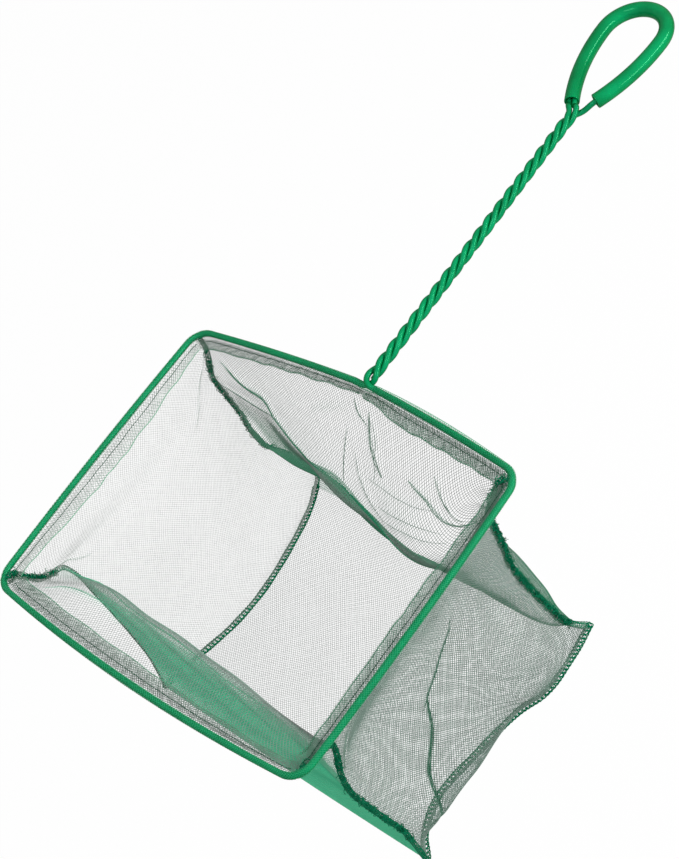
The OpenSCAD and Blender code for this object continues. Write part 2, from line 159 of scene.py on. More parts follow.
def cubic_weights(t: Points) -> Points:
    """Catmull-Rom weights of the four neighbours of a place, t being its share of the middle gap."""
    return np.stack([
        -0.5 * t + t**2 - 0.5 * t**3,
        1.0 - 2.5 * t**2 + 1.5 * t**3,
        0.5 * t + 2.0 * t**2 - 1.5 * t**3,
        -0.5 * t**2 + 0.5 * t**3], axis=1)


def spread(table: Points, place: Points) -> Points:
    """Values between the rows of a table, smooth along it.

    Args:
        table: One row for each knot.
        place: Row numbers, with their fractions.

    Returns:
        One row of values for each place.
    """
    low = np.clip(np.floor(place).astype(int), 0, len(table) - 2)
    weights = cubic_weights(place - low)
    padded = np.vstack([2 * table[0] - table[1], table, 2 * table[-1] - table[-2]])
    return sum(weights[:, k, None] * padded[low + k] for k in range(4))


def smooth_line(knots: tuple[tuple[float, ...], ...], step: float, steps_per_knot: int = 24) -> Points:
    """A smooth line through a few knots.

    Args:
        knots: Places that the line goes through.
        step: Distance between its points.
        steps_per_knot: How finely the curve is followed before its points are set.

    Returns:
        Points of the line.
    """
    table = np.array(knots, dtype=float)
    place = np.linspace(0.0, len(table) - 1.0, steps_per_knot * len(table))
    return resampled(spread(table, place), step)


def at_share(line: Points, share: Points) -> Points:
    """Points of a line at shares of its length."""
    along = run_length(line)
    return np.stack([np.interp(share, along / along[-1], column) for column in line.T], axis=1)


def unit(v: Points) -> Points:
    """The vector, or each row of a table, at length one."""
    return v / np.linalg.norm(v, axis=-1, keepdims=True)


def tangents(line: Points) -> Points:
    """Unit directions of a line at each of its points."""
    return unit(np.gradient(line, axis=0))


def hump(share: Points, power: float, margin: float = 0.0) -> Points:
    """A hump over the shares 0 to 1, which keeps off zero at both ends by a margin."""
    return np.sin(np.pi * np.clip(share, margin, 1 - margin))**power


def ray(angle: float) -> Points:
    """Direction at an angle in degrees."""
    return np.array([math.cos(math.radians(angle)), math.sin(math.radians(angle))])


def bearing(start: Points, end: Points) -> float:
    """Angle in degrees from one point to another."""
    return math.degrees(math.atan2(end[1] - start[1], end[0] - start[0]))


def arc_turn(length: float, radius: float) -> float:
    """Angle in degrees of an arc of a length."""
    return math.degrees(length / radius)


def flat3(p: Points) -> Points:
    """A plan point at height zero."""
    return np.array([p[0], p[1], 0.0])


def blend_run(p: Points, dp: Points, q: Points, dq: Points, steps: int, pull_share: float = 0.4) -> Points:
    """A smooth run between two points.

    Args:
        p: Start.
        dp: Heading at the start.
        q: End.
        dq: Heading at the end.
        steps: Number of steps.
        pull_share: Length of the handles as a share of the distance.

    Returns:
        Points of the run.
    """
    pull = np.linalg.norm(q - p) * pull_share
    a, b = p + unit(dp) * pull, q - unit(dq) * pull
    t = np.linspace(0.0, 1.0, steps + 1)[:, None]
    return p * (1 - t)**3 + a * 3 * t * (1 - t)**2 + b * 3 * t**2 * (1 - t) + q * t**3


# Node trees


def typed_socket(sockets: bpy.types.bpy_prop_collection, name: str, kind: str) -> bpy.types.NodeSocket:
    """The socket of a name that carries one kind of value."""
    return next(s for s in sockets if s.name == name and s.type == kind)


class NodeSheet:
    """A node tree, with one call that adds a node and feeds it."""

    def __init__(self, tree: bpy.types.NodeTree) -> None:
        """Take the tree that the nodes go into."""
        self.tree = tree

    def feed(self, target: bpy.types.NodeSocket, value: object) -> None:
        """Feed an input.

        Args:
            target: The input.
            value: A node, whose first output is linked, or a socket, or a constant.
        """
        source = value.outputs[0] if isinstance(value, bpy.types.Node) else value
        if isinstance(source, bpy.types.NodeSocket):
            self.tree.links.new(source, target)
        else:
            target.default_value = source

    def add(self, kind: str, feeds: Feeds = NO_FEEDS, **settings: object) -> bpy.types.Node:
        """Add a node.

        Args:
            kind: Type name of the node.
            feeds: What goes into each input, by the input's name or number.
            settings: Properties of the node.

        Returns:
            The new node.
        """
        node = self.tree.nodes.new(kind)
        for name, value in settings.items():
            setattr(node, name, value)
        for key, value in feeds.items():
            self.feed(node.inputs[key], value)
        return node

    def reckon(self, operation: str, first: object, second: object) -> bpy.types.Node:
        """A math node of two values."""
        return self.add("ShaderNodeMath", {0: first, 1: second}, operation=operation)


class GeometryTree(NodeSheet):
    """A geometry node tree with named inputs, and the way to run it on an object."""

    def __init__(self, name: str, **inputs: str) -> None:
        """Start the tree.

        Args:
            name: Name of the tree.
            inputs: Kind of each input's socket, besides the geometry's and the material's.
        """
        super().__init__(bpy.data.node_groups.new(name, "GeometryNodeTree"))
        sides = {"INPUT": {"Geometry": "Geometry", **inputs, "Material": "Material"},
                 "OUTPUT": {"Geometry": "Geometry"}}
        for side, sockets in sides.items():
            for label, kind in sockets.items():
                self.tree.interface.new_socket(label, in_out=side, socket_type=f"NodeSocket{kind}")
        self.given = self.add("NodeGroupInput").outputs

    def sweep(self, lines: bpy.types.Node, sides: object, feeds: Feeds = NO_FEEDS) -> bpy.types.Node:
        """Sweep a round section of the given diameter along curves.

        Args:
            lines: Node that gives the curves.
            sides: Sides of the section.
            feeds: What goes into the other inputs of the sweep.

        Returns:
            The node that gives the mesh.
        """
        radius = self.reckon("MULTIPLY", self.given["Diameter"], 0.5)
        section = self.add("GeometryNodeCurvePrimitiveCircle", {"Resolution": sides, "Radius": radius})
        return self.add("GeometryNodeCurveToMesh", {"Curve": lines, "Profile Curve": section, **feeds})

    def finish_with(self, mesh: bpy.types.Node) -> None:
        """Smooth the mesh, give it its material and hand it out."""
        real = self.add("GeometryNodeRealizeInstances", {0: mesh})
        smooth = self.add("GeometryNodeSetShadeSmooth", {0: real})
        dressed = self.add("GeometryNodeSetMaterial", {0: smooth, "Material": self.given["Material"]})
        self.add("NodeGroupOutput", {0: dressed})

    def apply(self, piece: bpy.types.Object, values: dict[str, object]) -> None:
        """Run the tree on an object and keep the plain mesh that it makes.

        Args:
            piece: Object whose mesh is the tree's input.
            values: Value of each named input.
        """
        modifier = piece.modifiers.new("work", "NODES")
        modifier.node_group = self.tree
        for item in self.tree.interface.items_tree:
            if item.in_out == "INPUT" and item.name in values:
                modifier[item.identifier] = values[item.name]
        graph = bpy.context.evaluated_depsgraph_get()
        made = bpy.data.meshes.new_from_object(piece.evaluated_get(graph))
        piece.modifiers.clear()
        rough, piece.data = piece.data, made
        made.name = piece.name
        bpy.data.meshes.remove(rough)


class ThreadTree(GeometryTree):
    """Sweeps a round section along every line of a mesh of edges."""

    def __init__(self) -> None:
        """Build the tree."""
        super().__init__("thread_along_lines", Diameter="Float", Sides="Int", Closed="Bool")
        lines = self.add("GeometryNodeMeshToCurve", {0: self.given["Geometry"]})
        thickness = self.add("GeometryNodeInputNamedAttribute", {"Name": "thickness"}, data_type="FLOAT")
        self.finish_with(self.sweep(lines, self.given["Sides"], {
            "Scale": thickness, "Fill Caps": self.given["Closed"]}))


class StitchTree(GeometryTree):
    """Sets a thread loop at every stitch along a line, flat to the line's lay."""

    loop_sides = 10
    thread_sides = 5

    def __init__(self) -> None:
        """Build the tree."""
        super().__init__("stitches_along_lines", Pitch="Float", Length="Float", Width="Float",
                         Diameter="Float", Slant="Float", Spread="Float", Seed="Int")
        add, given = self.add, self.given
        lines = add("GeometryNodeMeshToCurve", {0: given["Geometry"]})
        even = add("GeometryNodeResampleCurve", {"Curve": lines, "Length": given["Pitch"]}, mode="LENGTH")
        loop = add("GeometryNodeCurvePrimitiveCircle", {"Resolution": self.loop_sides, "Radius": 0.5})
        size = add("ShaderNodeCombineXYZ", {0: given["Length"], 1: given["Width"], 2: 1.0})
        thread = self.sweep(add("GeometryNodeTransform", {"Geometry": loop, "Scale": size}),
                            self.thread_sides)
        lay = add("GeometryNodeInputNamedAttribute", {"Name": "lay"}, data_type="FLOAT_VECTOR")
        align = "FunctionNodeAlignRotationToVector"
        along = add(align, {"Vector": add("GeometryNodeInputTangent")}, axis="X")
        flat = add(align, {"Rotation": along, "Vector": lay}, axis="Z", pivot_axis="X")
        stitches = add("GeometryNodeInstanceOnPoints", {"Points": even, "Instance": thread, "Rotation": flat})
        turn = add("FunctionNodeRandomValue", {"Seed": given["Seed"]}, data_type="FLOAT")
        for label, operation in (("Min", "SUBTRACT"), ("Max", "ADD")):
            self.feed(typed_socket(turn.inputs, label, "VALUE"),
                      self.reckon(operation, given["Slant"], given["Spread"]))
        angle = add("ShaderNodeCombineXYZ", {2: typed_socket(turn.outputs, "Value", "VALUE")})
        self.finish_with(add("GeometryNodeRotateInstances", {"Instances": stitches, "Rotation": angle}))


# Finishes


class Surface(NodeSheet):
    """A material with one principled shader, and the patterns that a finish may ask for."""

    def __init__(self, name: str, **constants: object) -> None:
        """Begin the material.

        Args:
            name: Name of the material.
            constants: Values of the shader's sockets, with _ for each space of their names.
        """
        self.material = bpy.data.materials.new(name)
        self.material.use_nodes = True
        super().__init__(self.material.node_tree)
        self.shader = self.tree.nodes["Principled BSDF"]
        for label, value in constants.items():
            self.feed(self.shader.inputs[label.replace("_", " ")], value)

    def coloured(self, source: object) -> None:
        """Let a node or a socket give the shader its colour."""
        self.feed(self.shader.inputs["Base Color"], source)

    def mottle(self, first: Triple, second: Triple, scale: float, stretch: Triple = (1.0, 1.0, 1.0),
               band: Pair = (0.35, 0.65)) -> bpy.types.Node:
        """A soft mix of two colours in patches.

        Args:
            first: Colour of the dark patches.
            second: Colour of the light patches.
            scale: Patches for each metre.
            stretch: Scale of the pattern along each axis.
            band: Levels of the noise where the first colour ends and the second begins.

        Returns:
            The node that gives the colour.
        """
        place = self.add("ShaderNodeTexCoord").outputs["Object"]
        turned = self.add("ShaderNodeMapping", {"Vector": place, "Scale": stretch})
        noise = self.add("ShaderNodeTexNoise", {"Vector": turned, "Scale": scale, "Detail": 4.0})
        ramp = self.add("ShaderNodeValToRGB", {0: noise})
        for element, position, colour in zip(ramp.color_ramp.elements, band, (first, second)):
            element.position = position
            element.color = (*colour, 1.0)
        return ramp

    def relief(self, scale: float, depth: float) -> None:
        """Give the shader a fine uneven surface.

        Args:
            scale: Bumps for each metre.
            depth: Height of the bumps in metres.
        """
        place = self.add("ShaderNodeTexCoord").outputs["Object"]
        noise = self.add("ShaderNodeTexNoise", {"Vector": place, "Scale": scale, "Detail": 3.0})
        self.feed(self.shader.inputs["Normal"],
                  self.add("ShaderNodeBump", {"Distance": depth, "Height": noise}))


@dataclass(frozen=True)
class Vinyl:
    """Green vinyl with faint shade changes and a coat that darkens towards its edges."""

    name: str
    dark: Triple
    light: Triple
    roughness: float
    gloss: float
    tint: Triple
    coat_roughness: float
    coat_tint: Triple
    patches: float
    bumps: float
    bump_depth: float
    clearness: float = 0.0
    ior: float = 1.5
    coat_ior: float = 1.06

    def made(self) -> bpy.types.Material:
        """The material."""
        surface = Surface(self.name, Roughness=self.roughness, Transmission_Weight=self.clearness,
                          IOR=self.ior, Specular_IOR_Level=self.gloss, Specular_Tint=(*self.tint, 1.0),
                          Coat_Weight=1.0, Coat_IOR=self.coat_ior, Coat_Roughness=self.coat_roughness,
                          Coat_Tint=(*self.coat_tint, 1.0))
        surface.coloured(surface.mottle(self.dark, self.light, self.patches))
        surface.relief(self.bumps, self.bump_depth)
        return surface.material


WIRE_VINYL = Vinyl(
    "vinyl_coat_green", dark=(0.002, 0.400, 0.200), light=(0.004, 0.530, 0.280), roughness=0.16, gloss=0.6,
    tint=(0.30, 1.0, 0.65), coat_roughness=0.2, coat_tint=(0.30, 0.62, 0.45), patches=90.0, bumps=420.0,
    bump_depth=0.00006)
SLEEVE_VINYL = Vinyl(
    "sleeve_clear_green", dark=(0.004, 0.560, 0.230), light=(0.008, 0.800, 0.370), roughness=0.12, gloss=0.8,
    tint=(0.35, 1.0, 0.7), coat_roughness=0.12, coat_tint=(0.35, 0.66, 0.50), patches=60.0, bumps=260.0,
    bump_depth=0.00008, clearness=0.45, ior=1.35)


@dataclass(frozen=True)
class CutSteel:
    """Drawn steel wire, seen only where the wire was cut."""

    dark: Triple = (0.32, 0.33, 0.34)
    light: Triple = (0.50, 0.51, 0.52)
    drawn: Triple = (1.0, 0.1, 1.0)
    roughness: float = 0.35
    patches: float = 900.0
    bumps: float = 2500.0
    bump_depth: float = 0.00002

    def made(self) -> bpy.types.Material:
        """The material."""
        surface = Surface("steel_drawn", Roughness=self.roughness, Metallic=1.0)
        surface.coloured(surface.mottle(self.dark, self.light, self.patches, self.drawn))
        surface.relief(self.bumps, self.bump_depth)
        return surface.material


@dataclass(frozen=True)
class Thread:
    """Thin nylon thread. It turns from the open net's shade to a deep green by its gather: painted shade and
    light, the deep green that stacked threads and creases show where the net gathers.
    """

    name: str
    open_shade: Triple
    deep_shade: Triple = (0.008, 0.260, 0.115)
    gloss: float = 0.3
    roughness: float = 0.5
    patches: float = 160.0
    faint_share: float = 0.82

    def made(self) -> bpy.types.Material:
        """The material."""
        surface = Surface(self.name, Roughness=self.roughness, Specular_IOR_Level=self.gloss)
        faint = tuple(self.faint_share * c for c in self.open_shade)
        # The deep green is painted shade and light for stacked threads and creases, not the thread's own dye.
        gather = surface.add("ShaderNodeAttribute", attribute_name="gather").outputs["Fac"]
        blend = surface.add("ShaderNodeMix", {0: gather}, data_type="RGBA")
        surface.feed(typed_socket(blend.inputs, "A", "RGBA"),
                     surface.mottle(faint, self.open_shade, self.patches))
        surface.feed(typed_socket(blend.inputs, "B", "RGBA"), (*self.deep_shade, 1.0))
        surface.coloured(typed_socket(blend.outputs, "Result", "RGBA"))
        return surface.material


# Pieces


class Workshop:
    """Holds the trees, places and joins the pieces, and puts each on its body in place of the solids that it
    stands for.
    """

    def __init__(self) -> None:
        """Build the trees that the threads and stitches are made with."""
        self.threads = ThreadTree()
        self.stitches = StitchTree()

    def placed(self, name: str, mesh: bpy.types.Mesh) -> bpy.types.Object:
        """Put a mesh into the scene as an object at the origin."""
        piece = bpy.data.objects.new(name, mesh)
        bpy.context.scene.collection.objects.link(piece)
        return piece

    def joined(self, first: bpy.types.Object, second: bpy.types.Object) -> bpy.types.Object:
        """Join the second piece into the first one."""
        with bpy.context.temp_override(active_object=first, selected_editable_objects=[first, second]):
            bpy.ops.object.join()
        return first

    def report(self, piece: bpy.types.Object, body: Body, slot: Slot, *replaced: str) -> bpy.types.Object:
        """Put a piece on the body that it rides on, hide the solids that it stands for and log its size.

        Args:
            piece: The piece.
            body: Body that it rides on.
            slot: Material slot of its finish; not used.
            replaced: Names of the solids.

        Returns:
            The piece.
        """
        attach(piece, body.value)
        if replaced:
            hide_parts(*replaced)
        faces = sum(len(p.vertices) - 2 for p in piece.data.polygons)
        LOG.info("%s: %d triangles on %s", piece.name, faces, body.value)
        return piece


@dataclass(frozen=True)
class Stitch:
    """Sizes of a stitch in millimetres, and its slant and the slant's spread in degrees."""

    pitch: float
    length: float
    width: float
    thread: float
    slant: float = 0.0
    spread: float = 8.0


class ThreadWork:
    """Lines that become threads, each point with its own thickness, gather shade and lay."""

    def __init__(self, *lines: Points) -> None:
        """Begin the work, with lines of even thickness where there are any."""
        self.runs: list[Points] = []
        self.counts: list[int] = []
        self.values: dict[str, list[Points]] = {"thickness": [], "gather": [], "lay": []}
        for line in lines:
            self.add(line)

    def add(self, line: Points, thickness: float | Points = 1.0, gather: float | Points = 0.0,
            counts: list[int] | None = None, lay: Points = UP) -> None:
        """Add one line, or several laid end to end.

        Args:
            line: Points of all lines.
            thickness: Share of the thread's diameter.
            gather: How far the shade turns to deep green, which is painted shade of stacked threads and
                creases.
            counts: Number of points of each line, where there are several.
            lay: Direction that the stitches' flat side faces.
        """
        self.runs.append(line)
        self.counts.extend(counts or [len(line)])
        for label, value in (("thickness", thickness), ("gather", gather)):
            self.values[label].append(np.broadcast_to(value, len(line)).astype(float))
        self.values["lay"].append(np.broadcast_to(lay, (len(line), 3)).astype(float))

    def lines_object(self, shop: Workshop, name: str) -> bpy.types.Object:
        """An object of edges, with the values as attributes.

        Args:
            shop: Workshop that places the object.
            name: Name of the piece.

        Returns:
            The piece.
        """
        points = np.concatenate(self.runs) * MM
        starts = np.delete(np.arange(len(points)), np.cumsum(self.counts) - 1)
        edges = np.stack([starts, starts + 1], axis=1)
        mesh = bpy.data.meshes.new(name)
        mesh.vertices.add(len(points))
        mesh.vertices.foreach_set("co", points.ravel())
        mesh.edges.add(len(edges))
        mesh.edges.foreach_set("vertices", edges.ravel())
        for label, kind, key in (("thickness", "FLOAT", "value"), ("gather", "FLOAT", "value"),
                                 ("lay", "FLOAT_VECTOR", "vector")):
            values = np.concatenate(self.values[label]).ravel()
            mesh.attributes.new(label, kind, "POINT").data.foreach_set(key, values)
        return shop.placed(name, mesh)

    def swept(self, shop: Workshop, name: str, diameter: float, material: bpy.types.Material,
              sides: int = 3, closed: bool = False) -> bpy.types.Object:
        """The lines as threads.

        Args:
            shop: Workshop that holds the trees.
            name: Name of the piece.
            diameter: Diameter in millimetres.
            material: Finish.
            sides: Sides of the section.
            closed: Whether the ends are filled.

        Returns:
            The piece.
        """
        piece = self.lines_object(shop, name)
        shop.threads.apply(piece, {"Diameter": diameter * MM, "Sides": sides, "Closed": closed,
                                   "Material": material})
        return piece

    def stitched(self, shop: Workshop, name: str, stitch: Stitch, material: bpy.types.Material,
                 seed: int) -> bpy.types.Object:
        """Loops of thread along the lines.

        Args:
            shop: Workshop that holds the trees.
            name: Name of the piece.
            stitch: Sizes of the stitch.
            material: Finish.
            seed: Seed of the stitches' uneven turns.

        Returns:
            The piece.
        """
        piece = self.lines_object(shop, name)
        shop.stitches.apply(piece, {
            "Pitch": stitch.pitch * MM, "Length": stitch.length * MM, "Width": stitch.width * MM,
            "Diameter": stitch.thread * MM, "Slant": math.radians(stitch.slant),
            "Spread": math.radians(stitch.spread), "Seed": seed, "Material": material})
        return piece


# The wire


@dataclass
class WireForm:
    """Sizes and lines of the bent and twisted wire: the solids', with the twist's third strand added."""

    wire_d: float = 3.5
    bore_d: float = 2.62
    mouth_w: float = 254.0
    mouth_l: float = 190.0
    corner_r: float = 13.0
    far_bow: float = 6.0
    side_bow: float = 1.6
    near_bow: float = 1.4
    throat_rise: float = 11.5
    hoop_shift: float = -6.5
    handle_l: float = 305.0
    twist_turns: float = 6.25
    lay_slack: float = 1.05
    first_quarter: float = 6.3
    throat_open: float = 0.35
    lay_gap: float = 0.06
    lay_on: float = 4.5
    throat_run: float = 9.0
    throat_lift: float = 1.6
    loop_l: float = 90.0
    loop_w: float = 51.0
    sleeve_d: float = 9.2
    sleeve_play: float = 0.4
    left_bare: float = 11.0
    right_bare: float = 16.0
    hidden_end: float = 32.0
    tail_l: float = 3.0
    point_gap: float = 1.0
    lay_step: float = 0.8
    leg_points: int = 40
    top_points: int = 60
    hidden_points: int = 24
    crossing_steps: int = 16
    lay_in_steps: int = 10
    leg_steps: int = 24
    return_steps: int = 12
    left_rise: float = 1.3
    right_rise: float = -1.1
    return_back: float = 0.5
    return_stub: Pair = (2.2, 1.1)
    throat_gap: float = 1.0
    lay_angles: tuple[tuple[Strand, float], ...] = (
        (Strand.RIGHT, 150.0), (Strand.LEFT, 30.0), (Strand.RETURN, 270.0))

    def __post_init__(self) -> None:
        """Work out the sizes that follow from the fields."""
        self.wire_r = self.wire_d / 2
        self.loop_r = (self.loop_w - self.sleeve_d) / 2
        self.cross_y = self.loop_w / 2 - self.loop_l
        self.throat_y = self.loop_w / 2 - self.handle_l + self.throat_rise
        self.near_y = self.throat_y - self.throat_rise
        self.far_y = self.near_y - self.mouth_l
        right, left = (self.hoop_shift + way * self.mouth_w / 2 for way in (1, -1))
        self.outline = [np.array(p) for p in (
            (0.0, self.throat_y), (right, self.near_y), (right, self.far_y), (left, self.far_y),
            (left, self.near_y))]
        self.bows = (self.near_bow, self.side_bow, self.far_bow, self.side_bow, self.near_bow)
        self.last_edge = len(self.outline) - 1
        self.lay_r = self.wire_d / math.sqrt(3.0) * self.lay_slack
        self.lay_start = self.throat_y + self.throat_lift + self.first_quarter
        self.lay_rate = 360.0 * self.twist_turns / (self.cross_y - self.lay_start)
        self.leg_r = (self.loop_r**2 + self.cross_y**2) / (2 * self.loop_r)
        self.leg_turn = math.degrees(math.asin(-self.cross_y / self.leg_r))
        self.left_turn = self.leg_turn - arc_turn(self.left_bare, self.leg_r)
        self.right_turn = self.leg_turn - arc_turn(self.right_bare, self.leg_r)
        self.bore_r = self.wire_d + self.sleeve_play / 2
        self.lane = self.bore_r - self.wire_r - self.sleeve_play / 3

    # The hoop: five arcs that bow outwards, with a bend between each two

    def edge_circle(self, i: int) -> tuple[Points, float]:
        """The circle that an edge lies on.

        Args:
            i: Number of the edge, clockwise from the handle.

        Returns:
            Centre and radius.
        """
        a, b = self.outline[i], self.outline[(i + 1) % len(self.outline)]
        bow = self.bows[i]
        radius = ((np.linalg.norm(b - a) / 2)**2 + bow**2) / (2 * bow)
        along = unit(b - a)
        return (a + b) / 2 + np.array([along[1], -along[0]]) * (radius - bow), radius

    def bend_c(self, i: int) -> Points:
        """Centre of the bend at a corner, tangent to the edges on both its sides.

        Args:
            i: Number of the corner, which is also that of the edge after it.

        Returns:
            The centre.
        """
        (c0, r0), (c1, r1) = self.edge_circle(i - 1), self.edge_circle(i)
        r0, r1 = r0 - self.corner_r, r1 - self.corner_r
        gap = np.linalg.norm(c1 - c0)
        along = (c1 - c0) / gap
        reach = (r0**2 - r1**2 + gap**2) / (2 * gap)
        across = np.array([-along[1], along[0]]) * math.sqrt(max(0.0, r0**2 - reach**2))
        found = [c0 + along * reach + way * across for way in (1, -1)]
        return min(found, key=lambda p: np.linalg.norm(p - self.outline[i]))

    def edge_angles(self, i: int) -> Pair:
        """Where an edge begins and ends: at a bend, or at the throat.

        Args:
            i: Number of the edge.

        Returns:
            First and last angle on its circle.
        """
        c, r = self.edge_circle(i)
        run = arc_turn(self.throat_run, r)
        start = bearing(c, self.outline[0]) - run if i == 0 else bearing(c, self.bend_c(i))
        end = bearing(c, self.outline[0]) + run if i == self.last_edge else bearing(c, self.bend_c(i + 1))
        return start, end

    def arc(self, c: Points, r: float, a: float, b: float) -> Points:
        """Points of an arc, clockwise from angle a to angle b.

        Args:
            c: Centre.
            r: Radius.
            a: First angle.
            b: Last angle.

        Returns:
            Points in the hoop's plane.
        """
        turn = (a - b) % 360.0
        steps = max(2, int(math.radians(turn) * r / self.point_gap))
        return np.array([flat3(c + ray(a - turn * k / steps) * r) for k in range(steps + 1)])

    def edge_line(self, i: int, inset: float = 0.0) -> Points:
        """Edge i, moved inwards by an inset."""
        c, r = self.edge_circle(i)
        return self.arc(c, r - inset, *self.edge_angles(i))

    def bend_line(self, i: int, inset: float = 0.0, first: float = 0.0, last: float = 1.0) -> Points:
        """A stretch of the bend at corner i.

        Args:
            i: Number of the corner.
            inset: How far it is moved inwards.
            first: Share of the bend where the stretch begins.
            last: Share where it ends.

        Returns:
            Points of the stretch.
        """
        a, b = self.edge_angles(i - 1)[1], self.edge_angles(i)[0]
        turn = (a - b) % 360.0
        return self.arc(self.bend_c(i), self.corner_r - inset, a - turn * first, a - turn * last)

    def edge_run(self, i: int, inset: float = 0.0) -> Points:
        """An edge with half of the bend at each end, or up to the throat.

        Args:
            i: Number of the edge.
            inset: How far it is moved inwards.

        Returns:
            Points of the run.
        """
        throat = [flat3((0.0, self.throat_y - inset - self.throat_gap))]
        before = throat if i == 0 else self.bend_line(i, inset, first=0.5)[:-1]
        after = throat if i == self.last_edge else self.bend_line(i + 1, inset, last=0.5)[1:]
        return np.concatenate([before, self.edge_line(i, inset), after])

    def hoop_line(self) -> Points:
        """Centre line of the hoop, clockwise from the handle."""
        runs = [self.edge_line(0)]
        for i in range(1, len(self.outline)):
            runs += [self.bend_line(i)[1:-1], self.edge_line(i)]
        return np.concatenate(runs)

    def bar_end(self, side: Strand) -> tuple[Points, Points]:
        """Where the right or left edge turns into the handle.

        Args:
            side: The strand that it becomes.

        Returns:
            The place and the heading.
        """
        i = 0 if side is Strand.RIGHT else self.last_edge
        angle = self.edge_angles(i)[0 if i == 0 else 1]
        c, r = self.edge_circle(i)
        return flat3(c + ray(angle) * r), flat3(ray(angle + side * 90.0))

    # The handle: three strands in a left-handed lay, and the legs of the loop

    def lay_point(self, strand: Strand, y: float) -> Points:
        """Place of a strand in the lay. The throat spreads the two that come from the hoop.

        Args:
            strand: The strand.
            y: Station along the handle.

        Returns:
            The place.
        """
        phase = math.radians(dict(self.lay_angles)[strand] + self.lay_rate * (y - self.lay_start))
        opened = self.throat_open * max(0.0, 1 - (y - self.lay_start) / self.first_quarter)**2
        r = self.lay_r + opened * abs(strand)
        return np.array([r * math.cos(phase), y, r * math.sin(phase)])

    def lay_heading(self, strand: Strand, y: float, step: float = 0.01) -> Points:
        """Direction of a strand at a station of the handle."""
        return unit(self.lay_point(strand, y + step) - self.lay_point(strand, y - step))

    def lay_run(self, strand: Strand, first: float, last: float) -> Points:
        """A strand's run through the lay, between two stations."""
        stations = np.linspace(first, last, int((last - first) / self.lay_step))
        return np.array([self.lay_point(strand, y) for y in stations])

    def leg_point(self, side: Strand, a: float, out: float = 0.0) -> Points:
        """Place on a leg of the loop, at an angle from its top and a distance out."""
        x, y = ray(a) * (self.leg_r + out)
        return np.array([side * (self.loop_r - self.leg_r + x), -y, 0.0])

    def leg_down(self, side: Strand, a: float) -> Points:
        """Direction down a leg of the loop."""
        x, y = ray(a)
        return np.array([-side * y, -x, 0.0])

    def strand_line(self, side: Strand) -> Points:
        """A strand from the hoop, through the throat and the lay, to the loop.

        Args:
            side: The strand of the right-hand edge or the left-hand one.

        Returns:
            Points of its centre line.
        """
        left = side is Strand.LEFT
        start, heading = self.bar_end(side)
        crossing = np.array([0.0, self.throat_y + self.throat_lift, side * (self.wire_r + self.lay_gap)])
        across = np.array([-side, 1.0, 0.0])
        turn, out = (self.left_turn, self.lane) if left else (self.right_turn, 0.0)
        leg = blend_run(self.lay_point(side, self.cross_y), self.lay_heading(side, self.cross_y),
                        self.leg_point(side, turn, out), -self.leg_down(side, turn), self.leg_steps)
        rise = self.left_rise if left else self.right_rise
        leg = leg + UP * rise * np.sin(np.linspace(0, math.pi, len(leg)))[:, None]**2
        runs = [blend_run(start, heading, crossing, across, self.crossing_steps),
                blend_run(crossing, across, self.lay_point(side, self.lay_start),
                          self.lay_heading(side, self.lay_start), self.lay_in_steps)[1:],
                self.lay_run(side, self.lay_start, self.cross_y)[1:], leg[1:]]
        if left:
            hidden = turn - arc_turn(self.hidden_end, self.leg_r)
            angles = np.linspace(turn, hidden, self.hidden_points)[1:]
            runs.append(np.array([self.leg_point(side, a, out) for a in angles]))
        return np.concatenate(runs)

    def return_line(self) -> Points:
        """The wire's return: from its cut end at the throat, through the lay, to the loop's wire."""
        first, last = self.lay_start - self.return_back, self.cross_y + self.lay_on
        down = self.leg_down(Strand.LEFT, self.left_turn)
        end = self.leg_point(Strand.LEFT, self.left_turn, -self.lane) + down * self.tail_l
        stub = self.lay_point(Strand.RETURN, first) - np.array([(0, y, 0) for y in self.return_stub])
        return np.concatenate([
            stub, self.lay_run(Strand.RETURN, first, last),
            blend_run(self.lay_point(Strand.RETURN, last), self.lay_heading(Strand.RETURN, last), end,
                      -down, self.return_steps)[1:]])

    def loop_arc(self, lane: float) -> Points:
        """The loop's line inside the sleeve, from its right end round to its left one.

        Args:
            lane: How far it runs inside the sleeve's centre line.

        Returns:
            Points of the line.
        """
        t = np.linspace(0, 1, self.leg_points)
        right = [self.leg_point(Strand.RIGHT, self.right_turn * (1 - s), -lane * ray(90 * s)[1]) for s in t]
        top = [flat3(ray(180 * s) * (self.loop_r - lane)) for s in np.linspace(0, 1, self.top_points)[1:]]
        left = [self.leg_point(Strand.LEFT, self.left_turn * s, -lane) for s in t[1:]]
        return np.array([*right, *top, *left])

    def loop_line(self) -> Points:
        """The wire inside the sleeve, from its right end round to the tail."""
        line = self.loop_arc(self.lane)
        tail = line[-1] + self.leg_down(Strand.LEFT, self.left_turn) * self.tail_l
        return np.array([*line, (line[-1] + tail) / 2, tail])


